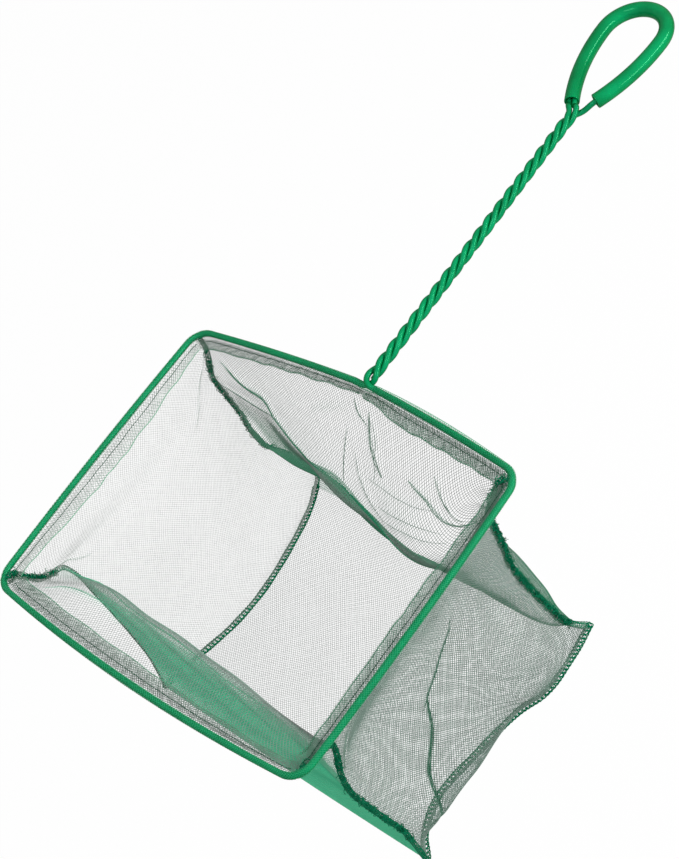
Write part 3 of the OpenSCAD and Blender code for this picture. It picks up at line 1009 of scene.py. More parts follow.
@dataclass
class Tube:
    """A hollow tube along a line, with both ends cut square and their edges eased."""

    outer_r: float
    inner_r: float
    ease: float
    sides: int
    ease_shares: tuple[Pair, ...] = ((0.0, 1.0), (0.12, 0.5), (0.4, 0.15), (1.0, 0.0))
    inner_ease_share: float = 0.6

    def stations(self, line: Points) -> tuple[Points, Points, Points]:
        """Ring centres with the outer and inner radius of each.

        Args:
            line: Centre line.

        Returns:
            Centres, outer radii and inner radii.
        """
        ways, along = tangents(line), run_length(line)
        eases = [(self.ease * place, self.ease * drop) for place, drop in self.ease_shares]
        head = [line[0] + ways[0] * a for a, _ in eases]
        body = [p for p, s in zip(line, along) if 2 * self.ease < s < along[-1] - 2 * self.ease]
        tail = [line[-1] - ways[-1] * a for a, _ in reversed(eases)]
        drops = [d for _, d in eases]
        drops = np.array([*drops, *[0.0] * len(body), *reversed(drops)])
        return (np.array(head + body + tail), self.outer_r - drops,
                self.inner_r + self.inner_ease_share * drops)

    def made(self, shop: Workshop, name: str, line: Points, material: bpy.types.Material) -> bpy.types.Object:
        """The tube as a piece.

        Args:
            shop: Workshop that makes the object.
            name: Name of the piece.
            line: Centre line.
            material: Finish.

        Returns:
            The piece.
        """
        centres, outer, inner = self.stations(line)
        ways = tangents(centres)
        across = unit(np.cross(ways, UP))
        rise = np.cross(across, ways)
        angles = np.linspace(0, FULL_TURN, self.sides, endpoint=False)[None, :, None]
        spokes = across[:, None] * np.cos(angles) + rise[:, None] * np.sin(angles)
        rings = [(centres[:, None] + spokes * r[:, None, None]).reshape(-1, 3) for r in (outer, inner)]
        count, n = len(centres), self.sides
        inside = count * n
        faces = []
        for wall in (0, inside):
            for i in range(count - 1):
                for k in range(n):
                    a, b = wall + i * n + k, wall + i * n + (k + 1) % n
                    faces.append((b, b + n, a + n, a) if wall else (a, a + n, b + n, b))
        for end in (0, inside - n):
            for k in range(n):
                a, b = end + k, end + (k + 1) % n
                faces.append((a + inside, b + inside, b, a) if end else (a, b, b + inside, a + inside))
        mesh = bpy.data.meshes.new(name)
        mesh.from_pydata((np.concatenate(rings) * MM).tolist(), [], faces)
        mesh.materials.append(material)
        mesh.shade_smooth()
        return shop.placed(name, mesh)


@dataclass
class WireWork:
    """The coated wire, its steel core and the sleeve."""

    form: WireForm
    hoop_sides: int = 24
    strand_sides: int = 20
    core_sides: int = 12
    core_play: float = 0.04
    bored_ease: float = 0.2
    bored_sides: int = 24
    sleeve_ease: float = 0.35
    sleeve_sides: int = 44

    def build(self, shop: Workshop, frame: dict) -> None:
        """Make the wire's pieces and dress its cores.

        Args:
            shop: Workshop that makes the objects.
            frame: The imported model.
        """
        form = self.form
        vinyl, steel = WIRE_VINYL.made(), CutSteel().made()
        strands = {f"strand_{side.name.lower()}": form.strand_line(side)
                   for side in (Strand.RIGHT, Strand.LEFT)}
        returned = form.return_line()
        coats = {"hoop": (form.hoop_line(), self.hoop_sides)}
        coats |= {name: (line, self.strand_sides) for name, line in strands.items()}
        for name, (line, sides) in coats.items():
            wire = ThreadWork(line).swept(shop, f"{name}_wire", form.wire_d, vinyl, sides, True)
            shop.report(wire, Body.FRAME, Slot.VINYL, f"{name}_coating")
        bored = Tube(form.wire_r, form.bore_d / 2, self.bored_ease, self.bored_sides)
        shop.report(bored.made(shop, "loop_wire", form.loop_line(), vinyl), Body.FRAME, Slot.VINYL,
                    "loop_coating")
        shop.report(bored.made(shop, "strand_return_wire", returned, vinyl), Body.FRAME, Slot.VINYL)
        for name, line in {**strands, "strand_return": returned}.items():
            core = ThreadWork(line).swept(shop, f"{name}_steel", form.bore_d - self.core_play, steel,
                                          self.core_sides, True)
            shop.report(core, Body.FRAME, Slot.STEEL, *({f"{name}_core"} & set(frame["nodes"])))
        sleeve = Tube(form.sleeve_d / 2, form.bore_r, self.sleeve_ease, self.sleeve_sides)
        shop.report(sleeve.made(shop, "loop_sleeve", form.loop_arc(0.0), SLEEVE_VINYL.made()), Body.FRAME,
                    Slot.SLEEVE, "grip_sleeve")
        for name in ("hoop_core", "loop_core"):
            for slot in frame["nodes"][name].material_slots:
                slot.material = steel


# The bag's form


@dataclass(frozen=True)
class Fold:
    """A fold or crease of a panel: a ridge along a line of shares, and threads that lie along it. Its deep
    value paints the crease deep green: painted shade.
    """

    path: tuple[Pair, ...]
    width: float = 3.0
    depth: float = 2.0
    # Painted crease shade: how far the threads there turn to deep green.
    deep: float = 0.8
    strands: int = 3
    strand_gap: float = 0.35
    path_step_share: float = 0.02

    def line(self, size: Points) -> Points:
        """The fold's line on flat cloth of a size."""
        return smooth_line(self.path, self.path_step_share) * size


# In the fold tables the fourth value paints shade along each crease; broad folds without strands add painted
# shade patches besides their ripple.
NEAR_FOLDS = (
    Fold(((0.37, 0.272), (0.412, 0.27), (0.487, 0.255), (0.529, 0.258), (0.588, 0.275), (0.675, 0.30),
          (0.754, 0.35), (0.842, 0.41), (0.875, 0.44)), 2.0, 0.5, 1.0, 7, 0.45),
    Fold(((0.046, 0.108), (0.117, 0.177), (0.2, 0.189), (0.237, 0.231), (0.304, 0.258), (0.367, 0.27),
          (0.43, 0.272)), 2.6, 1.6, 0.8, 5, 0.5),
    Fold(((0.013, 0.216), (0.067, 0.248), (0.142, 0.26), (0.237, 0.237)), 1.6, 0.8, 0.45, 2, 0.5),
    Fold(((0.517, 0.13), (0.529, 0.196), (0.542, 0.249)), 1.2, 0.8, 0.4, 2, 0.3),
    Fold(((0.379, 0.133), (0.442, 0.096), (0.504, 0.068)), 2.5, 0.8, 0.3, 0),
    Fold(((0.508, 0.037), (0.537, 0.074), (0.575, 0.096)), 1.3, 0.8, 0.5, 2, 0.4),
    Fold(((0.567, 0.06), (0.6, 0.119), (0.637, 0.15), (0.671, 0.18)), 2.2, 1.4, 0.5, 4, 0.6),
    Fold(((0.585, 0.08), (0.628, 0.13), (0.65, 0.2)), 1.2, 0.6, 0.35, 1),
    Fold(((0.758, 0.145), (0.829, 0.159), (0.879, 0.19), (0.912, 0.21), (0.945, 0.235)), 1.6, 1.0, 0.7, 4,
         0.45),
    Fold(((0.825, 0.108), (0.862, 0.136), (0.892, 0.164), (0.925, 0.208)), 1.4, 0.8, 0.5, 2, 0.5),
    Fold(((0.04, 0.40), (0.08, 0.46), (0.12, 0.50)), 6.0, 5.0, 0.0, 0),
    Fold(((0.965, 0.13), (0.96, 0.3), (0.955, 0.6), (0.955, 0.85), (0.96, 0.97)), 8.0, -15.0, 0.0, 0),
    Fold(((0.688, 0.241), (0.746, 0.224), (0.829, 0.213)), 5.0, 1.4, 0.25, 0),
    Fold(((0.562, 0.173), (0.596, 0.215), (0.65, 0.247), (0.704, 0.266)), 2.0, 0.9, 0.35, 1),
    Fold(((0.625, 0.204), (0.708, 0.196), (0.787, 0.187), (0.858, 0.176)), 2.0, 1.0, 0.35, 1),
    Fold(((0.654, 0.224), (0.738, 0.213), (0.812, 0.201), (0.875, 0.207)), 2.0, 1.1, 0.3, 0),
    Fold(((0.679, 0.244), (0.762, 0.224), (0.838, 0.221), (0.887, 0.232)), 2.2, 1.0, 0.4, 1),
    Fold(((0.704, 0.266), (0.787, 0.247), (0.854, 0.249), (0.896, 0.258)), 2.2, 1.1, 0.4, 1))

FAR_FOLDS = (
    Fold(((0.02, 0.235), (0.113, 0.215), (0.217, 0.277), (0.379, 0.267), (0.471, 0.29), (0.629, 0.31),
          (0.854, 0.284)), 1.6, 0.3, 1.0, 4, 0.4),
    Fold(((0.079, 0.072), (0.108, 0.103), (0.188, 0.107), (0.267, 0.11), (0.333, 0.1)), 1.2, 0.6, 0.5, 2,
         0.3))

LEFT_FOLDS = (
    Fold(((0.03, 0.15), (0.042, 0.192), (0.054, 0.25), (0.104, 0.283)), 1.4, 0.7, 0.35, 1),
    Fold(((0.985, 0.06), (0.963, 0.1), (0.925, 0.15), (0.854, 0.225), (0.783, 0.267)), 1.8, 0.8, 0.2, 1))

RIGHT_FOLDS = (
    Fold(((0.321, 0.325), (0.35, 0.37), (0.438, 0.422), (0.562, 0.483), (0.604, 0.498)), 1.6, 0.8, 0.6, 3,
         0.4),
    Fold(((0.496, 0.453), (0.562, 0.483), (0.633, 0.595), (0.779, 0.745), (0.85, 0.9), (0.93, 0.96)), 2.2,
         1.2, 0.8, 5, 0.5),
    Fold(((0.208, 0.858), (0.279, 0.768), (0.342, 0.708)), 5.0, 1.4, 0.2, 0),
    Fold(((0.921, 0.19), (0.938, 0.25), (0.963, 0.295)), 1.4, 0.8, 0.6, 2))

NO_SAG = (0, 0, 0, 0, 0, 0, 0)


@dataclass
class Panel:
    """One panel of cloth between its four edge lines, with its sag and folds.

    Shares u run along the hoop or floor and v runs from the top down. A flat size in millimetres
    says what the cloth was cut to. The tables of sag and row shade have a value for each of the rows; the row
    shade is painted shade, a deep green on rows where the net is seen stacked. A wave has its length, and the
    length and size of the wave that bends it.
    """

    name: str
    top: Points
    bottom: Points
    first: Points
    second: Points
    inward: Triple
    flat: Pair
    sag: tuple[tuple[float, ...], ...]
    folds: tuple[Fold, ...] = ()
    # Painted shade: how far each row turns to the deep green of stacked threads.
    row_shade: tuple[float, ...] = (0, 0, 0, 0, 0, 0, 0, 0)
    rows: tuple[float, ...] = (0.0, 0.05, 0.15, 0.30, 0.50, 0.70, 0.87, 1.0)
    ripple: float = 0.5
    ripple_edge: float = 16.0
    wave_along: Triple = (9.0, 23.0, 2.1)
    wave_down: Triple = (11.0, 31.0, 1.7)
    wave_down_share: float = 0.7
    fold_margin: float = 0.02
    fold_power: float = 0.5

    def base(self, u: Points, v: Points) -> Points:
        """The patch that its four edges span.

        Args:
            u: Shares along.
            v: Shares down.

        Returns:
            Points.
        """
        t, b = at_share(self.top, u), at_share(self.bottom, u)
        f, s = at_share(self.first, v), at_share(self.second, v)
        u1, v1 = u[:, None], v[:, None]
        corners = ((1 - u1) * (1 - v1) * self.top[0] + u1 * (1 - v1) * self.top[-1]
                   + (1 - u1) * v1 * self.bottom[0] + u1 * v1 * self.bottom[-1])
        return (1 - v1) * t + v1 * b + (1 - u1) * f + u1 * s - corners

    def drawn_in(self, u: Points, v: Points) -> Points:
        """How far the cloth sags inwards, from the table of sags.

        Args:
            u: Shares along.
            v: Shares down.

        Returns:
            Inward push in millimetres.
        """
        down = spread(np.array(self.sag, dtype=float), np.interp(v, self.rows, np.arange(len(self.rows))))
        column_at = u * (down.shape[1] - 1)
        low = np.clip(np.floor(column_at).astype(int), 0, down.shape[1] - 2)
        weights = cubic_weights(column_at - low)
        wide = np.hstack([2 * down[:, :1] - down[:, 1:2], down, 2 * down[:, -1:] - down[:, -2:-1]])
        picks = np.arange(len(u))
        return sum(weights[:, k] * wide[picks, low + k] for k in range(4))

    def fold_values(self, u: Points, v: Points) -> tuple[Points, Points]:
        """Push, and painted crease shade, of all folds at places of the panel.

        Args:
            u: Shares along.
            v: Shares down.

        Returns:
            Inward push in millimetres, and painted crease shade between 0 and 1.
        """
        size = np.array(self.flat)
        place = np.stack([u, v], axis=1) * size
        push, gather = np.zeros(len(u)), np.zeros(len(u))
        for fold in self.folds:
            path = fold.line(size)
            along = run_length(path) / run_length(path)[-1]
            near, where = np.full(len(u), np.inf), np.zeros(len(u))
            for a, d, start, share in zip(path, np.diff(path, axis=0), along, np.diff(along)):
                t = np.clip(((place - a) @ d) / (d @ d), 0, 1)
                gap = np.linalg.norm(place - a - t[:, None] * d, axis=1)
                where = np.where(gap < near, start + t * share, where)
                near = np.minimum(gap, near)
            shape = np.exp(-(near / fold.width)**2) * hump(where, self.fold_power, self.fold_margin)
            push += fold.depth * shape
            # Painted shade along the crease.
            gather = np.maximum(gather, fold.deep * shape)
        return push, gather

    def waves(self, u: Points, v: Points) -> Points:
        """The cloth's faint unevenness, which ends at the panel's edges.

        Args:
            u: Shares along.
            v: Shares down.

        Returns:
            Inward push in millimetres.
        """
        along, down = u * self.flat[0], v * self.flat[1]
        (length_a, turn_a, size_a), (length_d, turn_d, size_d) = self.wave_along, self.wave_down
        waves = (np.sin(along / length_a + size_a * np.sin(down / turn_a))
                 + self.wave_down_share * np.sin(down / length_d + size_d * np.sin(along / turn_d)))
        return self.ripple * waves * np.clip(self.ripple_edge * u * (1 - u) * v * (1 - v), 0, 1)

    def at(self, u: Points, v: Points) -> tuple[Points, Points]:
        """Places of the hung cloth.

        Args:
            u: Shares along.
            v: Shares down.

        Returns:
            Points, and the gather shade at each, which folds and rows paint.
        """
        push, gather = self.fold_values(u, v)
        # Painted shade by rows, down the panel.
        gather = np.maximum(gather, np.interp(v, self.rows, self.row_shade))
        shift = self.drawn_in(u, v) + push + self.waves(u, v)
        return self.base(u, v) + shift[:, None] * np.array(self.inward), gather


@dataclass
class BagForm:
    """Lines that the bag's panels and seams share."""

    wire: WireForm
    depth: float = 160.0
    edge_inset: float = 2.6
    edge_drop: float = 1.6
    edge_trim: int = 4
    line_step: float = 1.0
    far_sway: float = -1.0
    sway_points: int = 60
    seam_knots: dict[Corner, tuple[Triple, ...]] = field(default_factory=lambda: {
        Corner.NEAR_LEFT: (
            (-129.7, -283.3, -2.5), (-130.0, -284.5, -12), (-131.0, -291.0, -28), (-131.3, -292.8, -38),
            (-130.0, -293.8, -67), (-128.5, -296.0, -97), (-124.8, -287.5, -121), (-122.0, -283.5, -133),
            (-120.5, -283.0, -150), (-122.5, -288.0, -160)),
        Corner.NEAR_RIGHT: (
            (116.7, -283.3, -2.5), (112.2, -286.0, -4), (110.0, -294.0, -8), (107.3, -300.3, -17),
            (105.8, -301.3, -30), (104.6, -302.8, -48), (103.0, -304.5, -66), (102.6, -303.2, -96),
            (102.3, -300.4, -120), (102.4, -298.6, -138), (104.3, -294.0, -151), (107.5, -288.0, -160)),
        Corner.FAR_RIGHT: (
            (116.7, -465.7, -2.5), (117.0, -456.0, -4), (117.3, -444.5, -8), (116.3, -446.2, -19),
            (115.1, -451.9, -35), (114.0, -454.2, -53), (112.5, -452.9, -75), (111.2, -450.9, -98),
            (110.2, -448.9, -118), (108.8, -449.6, -137), (107.5, -451.0, -160)),
        Corner.FAR_LEFT: (
            (-129.7, -465.7, -2.5), (-129.0, -460.3, -5), (-128.8, -456.4, -13), (-128.5, -451.5, -21),
            (-127.9, -444.3, -25), (-127.8, -438.5, -29), (-127.4, -436.2, -41), (-126.8, -437.1, -58),
            (-125.5, -439.3, -92), (-123.8, -443.5, -131), (-122.5, -451.0, -160))})
    left_waist: tuple[Pair, ...] = (
        (-122.5, -451.0), (-115.5, -424.0), (-107.5, -395.0), (-105.0, -365.0), (-109.0, -330.0),
        (-115.0, -304.0), (-122.5, -288.0))
    right_waist: tuple[Pair, ...] = (
        (107.5, -288.0), (110.0, -312.0), (109.0, -336.0), (101.0, -354.0), (94.0, -388.0),
        (90.0, -416.0), (96.0, -438.0), (107.5, -451.0))
    near_fold: tuple[Pair, ...] = (
        (-122.5, -288.0), (-95.0, -288.0), (-65.0, -291.0), (-45.0, -295.0), (-20.0, -298.0),
        (15.0, -298.5), (50.0, -300.5), (80.0, -300.0), (97.0, -294.5), (107.5, -288.0))

    def seam(self, corner: Corner) -> Points:
        """Line of a corner seam, from the hoop down."""
        return smooth_line(self.seam_knots[corner], self.line_step)

    def floor_line(self, knots: tuple[Pair, ...]) -> Points:
        """A line on the bag's floor: a floor seam, or the fold that the sagging near wall draws in."""
        return smooth_line([(x, y, -self.depth) for x, y in knots], self.line_step)

    def hung_edge(self, edges: tuple[int, ...], start: Points, end: Points) -> Points:
        """Top line of a wall.

        Args:
            edges: Edges of the hoop that it hangs from.
            start: Top of the seam where it begins.
            end: Top of the seam where it ends.

        Returns:
            Points of the line.
        """
        cut = slice(self.edge_trim, -self.edge_trim)
        runs = [self.wire.edge_line(i, self.edge_inset)[cut] - UP * self.edge_drop for i in edges]
        return np.concatenate([[start], *runs, [end]])

    def far_fold(self) -> Points:
        """The floor's fold under the far wall, from left to right, with a slight sway."""
        p, q = (np.array(self.seam_knots[c][-1]) for c in (Corner.FAR_LEFT, Corner.FAR_RIGHT))
        t = np.linspace(0, 1, self.sway_points)[:, None]
        return p * (1 - t) + q * t + np.array([0, self.far_sway, 0]) * np.sin(np.pi * t)

    def panels(self) -> dict[Side, Panel]:
        """The four walls."""
        nl, nr, fr, fl = (self.seam(c) for c in (
            Corner.NEAR_LEFT, Corner.NEAR_RIGHT, Corner.FAR_RIGHT, Corner.FAR_LEFT))
        return {
            Side.NEAR: Panel(
                "wall_near", self.hung_edge((4, 0), nl[0], nr[0]), self.floor_line(self.near_fold), nl, nr,
                (0, -1, 0), (246, 186),
                (NO_SAG, (0, 0, 0, 1, 1, 1, 0), (0, 0, 3, 6, 9, 10, 0), (0, 5, 15, 24, 27.5, 29.5, 0),
                 (0, 8, 5, 14, 17, 14.5, 0), (0, 1, 4, 10.5, 9, 6, 0), (0, 2, 5.5, 5.5, 2, 0, 0), NO_SAG),
                # Row shade: painted deep green on the lower near wall, where its threads are seen stacked.
                NEAR_FOLDS, (0, 0, 0, 0.1, 0.7, 0.8, 0.8, 0.8)),
            Side.FAR: Panel(
                "wall_far", self.hung_edge((2,), fr[0], fl[0])[::-1], self.far_fold(), fl, fr,
                (0, 1, 0), (246, 180),
                (NO_SAG, (0, 4, 2, 1, -2, -5, 0), (0, 14, 14, 13, 10, 5, 0), (0, 4, 7, 9, 9, 7, 0),
                 (0, 2, 4, 6, 6, 5, 0), (0, 0, 1, 1, 1, 1, 0), NO_SAG, NO_SAG),
                # Row shade: painted deep green on the far wall's lower half, where its threads are seen
                # stacked.
                FAR_FOLDS, (0, 0, 0, 0.5, 0.8, 0.8, 0.8, 0.8)),
            Side.LEFT: Panel(
                "panel_left", self.hung_edge((3,), fl[0], nl[0]), self.floor_line(self.left_waist), fl, nl,
                (1, 0, 0), (178, 166),
                (NO_SAG, (0, 1, 1, 1, 1, 1, 0), (0, 2, 3, 3, 3, 2, 0), (0, 3, 5, 6, 5, 3, 0),
                 (0, 3, 6, 7, 6, 3, 0), (0, 2, 4, 5, 4, 2, 0), (0, 1, 1, 1, 1, 1, 0), NO_SAG),
                LEFT_FOLDS),
            Side.RIGHT: Panel(
                "panel_right", self.hung_edge((1,), nr[0], fr[0]), self.floor_line(self.right_waist), nr, fr,
                (-1, 0, 0), (178, 168),
                (NO_SAG, (0, -1, -2, -2, -2, -1, 0), NO_SAG, (0, 2, 3, 3, 3, 3, 0),
                 (0, -1, -2, -3, -3, -2, 0), (0, -5, -8, -10, -11, -9, 0), (0, -6, -10, -15, -20, -18, 0),
                 NO_SAG),
                RIGHT_FOLDS)}

    def floor_panel(self) -> Panel:
        """The floor, with u from left to right and v from the handle's side to the far side."""
        rise = (0, 0.5, 1, 1, 1, 0.5, 0)
        return Panel("floor_net", self.floor_line(self.near_fold), self.far_fold(),
                     self.floor_line(self.left_waist)[::-1], self.floor_line(self.right_waist), (0, 0, 1),
                     (216, 163), (NO_SAG, rise, NO_SAG, rise, NO_SAG, rise, NO_SAG, NO_SAG))


# Netting


class Collapse:
    """The bag's motion for storage, in which everything below the hoop is pushed up against it; here a piece
    only gets its own mesh.
    """

    joint = "bag_collapse"
    keep = 0.2

    @classmethod
    def squash(cls, piece: bpy.types.Object) -> None:
        """Give a piece its own copy of its mesh."""
        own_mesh(piece)


@dataclass(frozen=True)
class Net:
    """Sizes of the netting: thread, distance between threads, and distance between their points."""

    thread: float
    pitch: float = 1.4
    step: float = 2.3
    wobble: float = 0.10
    seed: int = 11
    wobble_l: float = 7.0
    shortest: float = 1.0

    def lattice(self, width: float, height: float) -> tuple[Points, list[int]]:
        """Two crossing families of slanting threads on flat cloth.

        Args:
            width: Width of the cloth.
            height: Height of the cloth.

        Returns:
            Flat points of all threads laid end to end, and the number of points of each.
        """
        random = np.random.default_rng(self.seed)
        gap = self.pitch * math.sqrt(2.0)
        runs = []
        for way in (1, -1):
            for c in np.arange(-height + gap / 2, width, gap):
                low, high = max(0.0, -c), min(height, width - c)
                if high - low < self.shortest:
                    continue
                y = np.linspace(low, high, max(2, int((high - low) * math.sqrt(2.0) / self.step) + 1))
                sway = np.sin(y / self.wobble_l + random.uniform(0, FULL_TURN))
                x = np.clip(c + y + self.pitch * self.wobble * sway, 0.0, width)
                runs.append(np.stack([x if way > 0 else width - x, y], axis=1))
        return np.concatenate(runs), [len(run) for run in runs]


@dataclass
class NetPanel:
    """A panel of netting. Its threads are thicker where the net gathers, and more lie along each fold."""

    panel: Panel
    net: Net
    finish: Thread
    gather_swell: float = 0.5
    strand_step: float = 1.6
    strand_lift: float = 0.25
    strand_wave_share: float = 0.25
    strand_wave_points: float = 2.3
    strand_power: float = 0.6
    strand_margin: float = 0.03
    thinnest: float = 0.5
    taper_swell: float = 0.7

    def threads(self) -> ThreadWork:
        """The panel's lattice, and the threads gathered along its folds."""
        work = ThreadWork()
        places, counts = self.net.lattice(*self.panel.flat)
        points, gather = self.panel.at(*(places / np.array(self.panel.flat)).T)
        work.add(points, 1.0 + self.gather_swell * gather, gather, counts)
        random = np.random.default_rng(self.net.seed + 1)
        for fold in self.panel.folds:
            for k in range(fold.strands):
                self.add_strand(work, fold, k, random)
        return work

    def add_strand(self, work: ThreadWork, fold: Fold, number: int, random: np.random.Generator) -> None:
        """Add one thread that lies along a fold.

        Args:
            work: Where it goes.
            fold: The fold.
            number: Which of its threads.
            random: Source of its waviness.
        """
        size = np.array(self.panel.flat)
        path = resampled(fold.line(size), self.strand_step)
        across = tangents(path)[:, ::-1] * (-1, 1)
        t = np.linspace(0, 1, len(path))
        taper = hump(t, self.strand_power, self.strand_margin)
        aside = (number - (fold.strands - 1) / 2) * fold.strand_gap
        wave = np.sin(t * len(path) / self.strand_wave_points + random.uniform(0, PHASE_SPAN))
        aside = (aside + self.strand_wave_share * fold.strand_gap * wave) * taper
        points, _ = self.panel.at(*np.clip((path + across * aside[:, None]) / size, 0, 1).T)
        work.add(points + np.array(self.panel.inward) * self.strand_lift,
                 self.thinnest + self.taper_swell * taper, fold.deep)

    def build(self, shop: Workshop, body: Body) -> None:
        """Make the panel. A wall also gets its own copy of its mesh.

        Args:
            shop: Workshop that makes the object.
            body: Body that it rides on.
        """
        piece = self.threads().swept(shop, f"{self.panel.name}_threads", self.net.thread, self.finish.made())
        shop.report(piece, body, Slot.NET, self.panel.name)
        flat = tuple(size * MM for size in self.panel.flat)
        if body is Body.FLOOR:
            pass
        else:
            Collapse.squash(piece)


# Seams and hems


@dataclass
class OverlockSeam:
    """An overlocked seam: two rails of thread, a loop at every stitch, and the cut edges inside."""

    name: str
    line: Points
    lay: Points
    body: Body
    width: float
    seed: int
    stitch: Stitch
    filler: int
    step: float = 0.9
    rail_shade: float = 0.8
    rail_loop_share: float = 0.10
    rail_sway: Pair = (0.08, 4.1)
    rail_swell: Pair = (0.15, 3.1)
    filler_thickness: float = 0.5
    filler_shade: float = 0.45
    filler_sway: Pair = (0.22, 1.7)
    filler_lift: Pair = (0.25, 2.3)
    thread_sides: int = 5

    def build(self, shop: Workshop, material: bpy.types.Material) -> bpy.types.Object:
        """Make the seam.

        Args:
            shop: Workshop that makes the object.
            material: Finish of its thread.

        Returns:
            The piece.
        """
        random = np.random.default_rng(self.seed)
        line = resampled(self.line, self.step)
        ways = tangents(line)
        across = unit(np.cross(np.broadcast_to(self.lay, ways.shape), ways))
        rise = np.cross(ways, across)
        s = run_length(line)
        rails = ThreadWork()
        swell, swell_rate = self.rail_swell

        def wave(size: float, length: float) -> Points:
            """A wave along the seam that begins anywhere."""
            return size * np.sin(s / length + random.uniform(0, PHASE_SPAN))

        for side in (1, -1):
            pulled = 1 + self.rail_loop_share * np.sin(s * FULL_TURN / self.stitch.pitch)
            sway = side * (self.width / 2) * (pulled + wave(*self.rail_sway))
            rails.add(line + across * sway[:, None], 1.0 + swell * np.sin(s * swell_rate + side),
                      self.rail_shade)
        for k in range(self.filler):
            aside = (k - (self.filler - 1) / 2) * self.width / (self.filler + 1)
            sway = aside + wave(*self.filler_sway)
            lift = wave(*self.filler_lift)
            rails.add(line + across * sway[:, None] + rise * lift[:, None], self.filler_thickness,
                      self.filler_shade)
        piece = rails.swept(shop, f"{self.name}_stitches", self.stitch.thread, material, self.thread_sides)
        loops = ThreadWork()
        loops.add(line, lay=rise)
        shop.joined(piece, loops.stitched(shop, f"{self.name}_loops", self.stitch, material, self.seed))
        return shop.report(piece, self.body, Slot.SEAM, self.name)


@dataclass
class Hem:
    """A hem along one edge of the hoop: net wound round the wire, and its flap of two layers inside the hoop.
    """

    name: str
    edge: int
    wire: WireForm
    finish: Thread
    width: float
    net: Net
    belly: float = 0.0
    taper: float = 0.0
    slope: float = 16.0
    drop: float = 1.1
    edge_shade: float = 0.6
    ramp: float = 0.0
    slack: float = 0.0
    root: float = 1.3
    layer_gap: float = 0.5
    wrap_r: float = 2.1
    inner_inset: float = 10.0
    throat_share: float = 0.42
    unevenness: float = 0.35
    width_waves: float = 37.0
    fall_waves: Triple = (55.0, 2.0, 13.0)
    slack_angle: float = 0.5
    flap_shade_share: float = 0.4
    wrap_shade: float = 0.9
    wrap_thickness: float = 0.9
    rim_step: float = 1.5
    rim_margin: float = 0.01
    rims: tuple[Pair, ...] = ((1.0, 1.5), (0.975, 1.1), (0.05, 1.0))
    stitch_step: float = 1.2
    stitch_margin: float = 0.02
    stitch_lift: float = 0.25

    def __post_init__(self) -> None:
        """Work out the hem's length and the lines that it follows."""
        self.outer = self.wire.edge_run(self.edge)
        self.inner = self.wire.edge_run(self.edge, self.inner_inset)
        self.length = float(run_length(self.outer)[-1])

    def root_at(self, u: Points) -> tuple[Points, Points]:
        """The wire's centre at shares of the edge, and the direction into the hoop there."""
        outer = at_share(self.outer, u)
        return outer, unit(at_share(self.inner, u) - outer)

    def wrap(self, u: Points, turn: Points) -> Points:
        """Places of the net round the wire.

        Args:
            u: Shares along the edge.
            turn: Shares of the way round the wire.

        Returns:
            Points.
        """
        outer, inwards = self.root_at(u)
        angle = turn * FULL_TURN
        loose = self.slack * np.clip(np.cos(angle - self.slack_angle), 0, 1)**2 * np.sin(np.pi * u)
        r = (self.wrap_r + loose)[:, None]
        return outer - inwards * np.cos(angle)[:, None] * r + UP * np.sin(angle)[:, None] * r

    def place(self, u: Points, w: Points, layer: float = 0.0) -> Points:
        """Places of the flap.

        Args:
            u: Shares along the edge.
            w: Shares from the wire inwards.
            layer: 0 for the upper layer and 1 for the lower one.

        Returns:
            Points.
        """
        outer, inwards = self.root_at(u)
        width = self.width + self.belly * np.sin(np.pi * u) + self.taper * (u - 0.5)
        if self.ramp:
            from_throat = np.clip((1.0 - u if self.edge else u) / self.ramp, 0, 1)
            width = width * (self.throat_share + (1 - self.throat_share) * from_throat)
        width = width + self.unevenness * np.sin(u * self.width_waves) * w
        reach = self.root + w * width * math.cos(math.radians(self.slope))
        fall = self.drop + w * width * math.sin(math.radians(self.slope))
        fall = fall + layer * self.layer_gap * hump(w, 0.5)
        waves, bent, bends = self.fall_waves
        fall = fall + self.unevenness * w * np.sin(u * waves + bent * np.sin(u * bends))
        return outer + inwards * reach[:, None] - UP * fall[:, None]

    def build(self, shop: Workshop) -> None:
        """Args:
            shop: Workshop that makes the object.
        """
        work = ThreadWork()
        for layer in (0, 1):
            places, counts = self.net.lattice(self.length, self.width)
            u, w = places[:, 0] / self.length, places[:, 1] / self.width
            u = 1.0 - u if layer else u
            work.add(self.place(u, w, layer), 1.0, self.flap_shade_share * self.edge_shade * w, counts)
        around = FULL_TURN * self.wrap_r
        places, counts = self.net.lattice(self.length, around)
        work.add(self.wrap(places[:, 0] / self.length, places[:, 1] / around), self.wrap_thickness,
                 self.wrap_shade, counts)
        u = np.linspace(self.rim_margin, 1 - self.rim_margin, int(self.length / self.rim_step))
        for w, thick in self.rims:
            work.add(self.place(u, np.full(len(u), w)), thick, self.edge_shade)
        piece = work.swept(shop, f"{self.name}_net", self.net.thread, self.finish.made())
        shop.report(piece, Body.FRAME, Slot.HEM, self.name)

    def line_at(self, w: float) -> Points:
        """A line along the hem, on its upper layer, at a share of its width."""
        u = np.linspace(self.stitch_margin, 1 - self.stitch_margin, int(self.length / self.stitch_step))
        return self.place(u, np.full(len(u), w)) + UP * self.stitch_lift


@dataclass(frozen=True)
class CornerSewing:
    """How a corner is sewn: its seam's width and lay, and the reach, spread, tufts and lift of its bunch."""

    width: float
    lay: Triple
    reach: float
    spread: float
    tufts: int
    lift: float


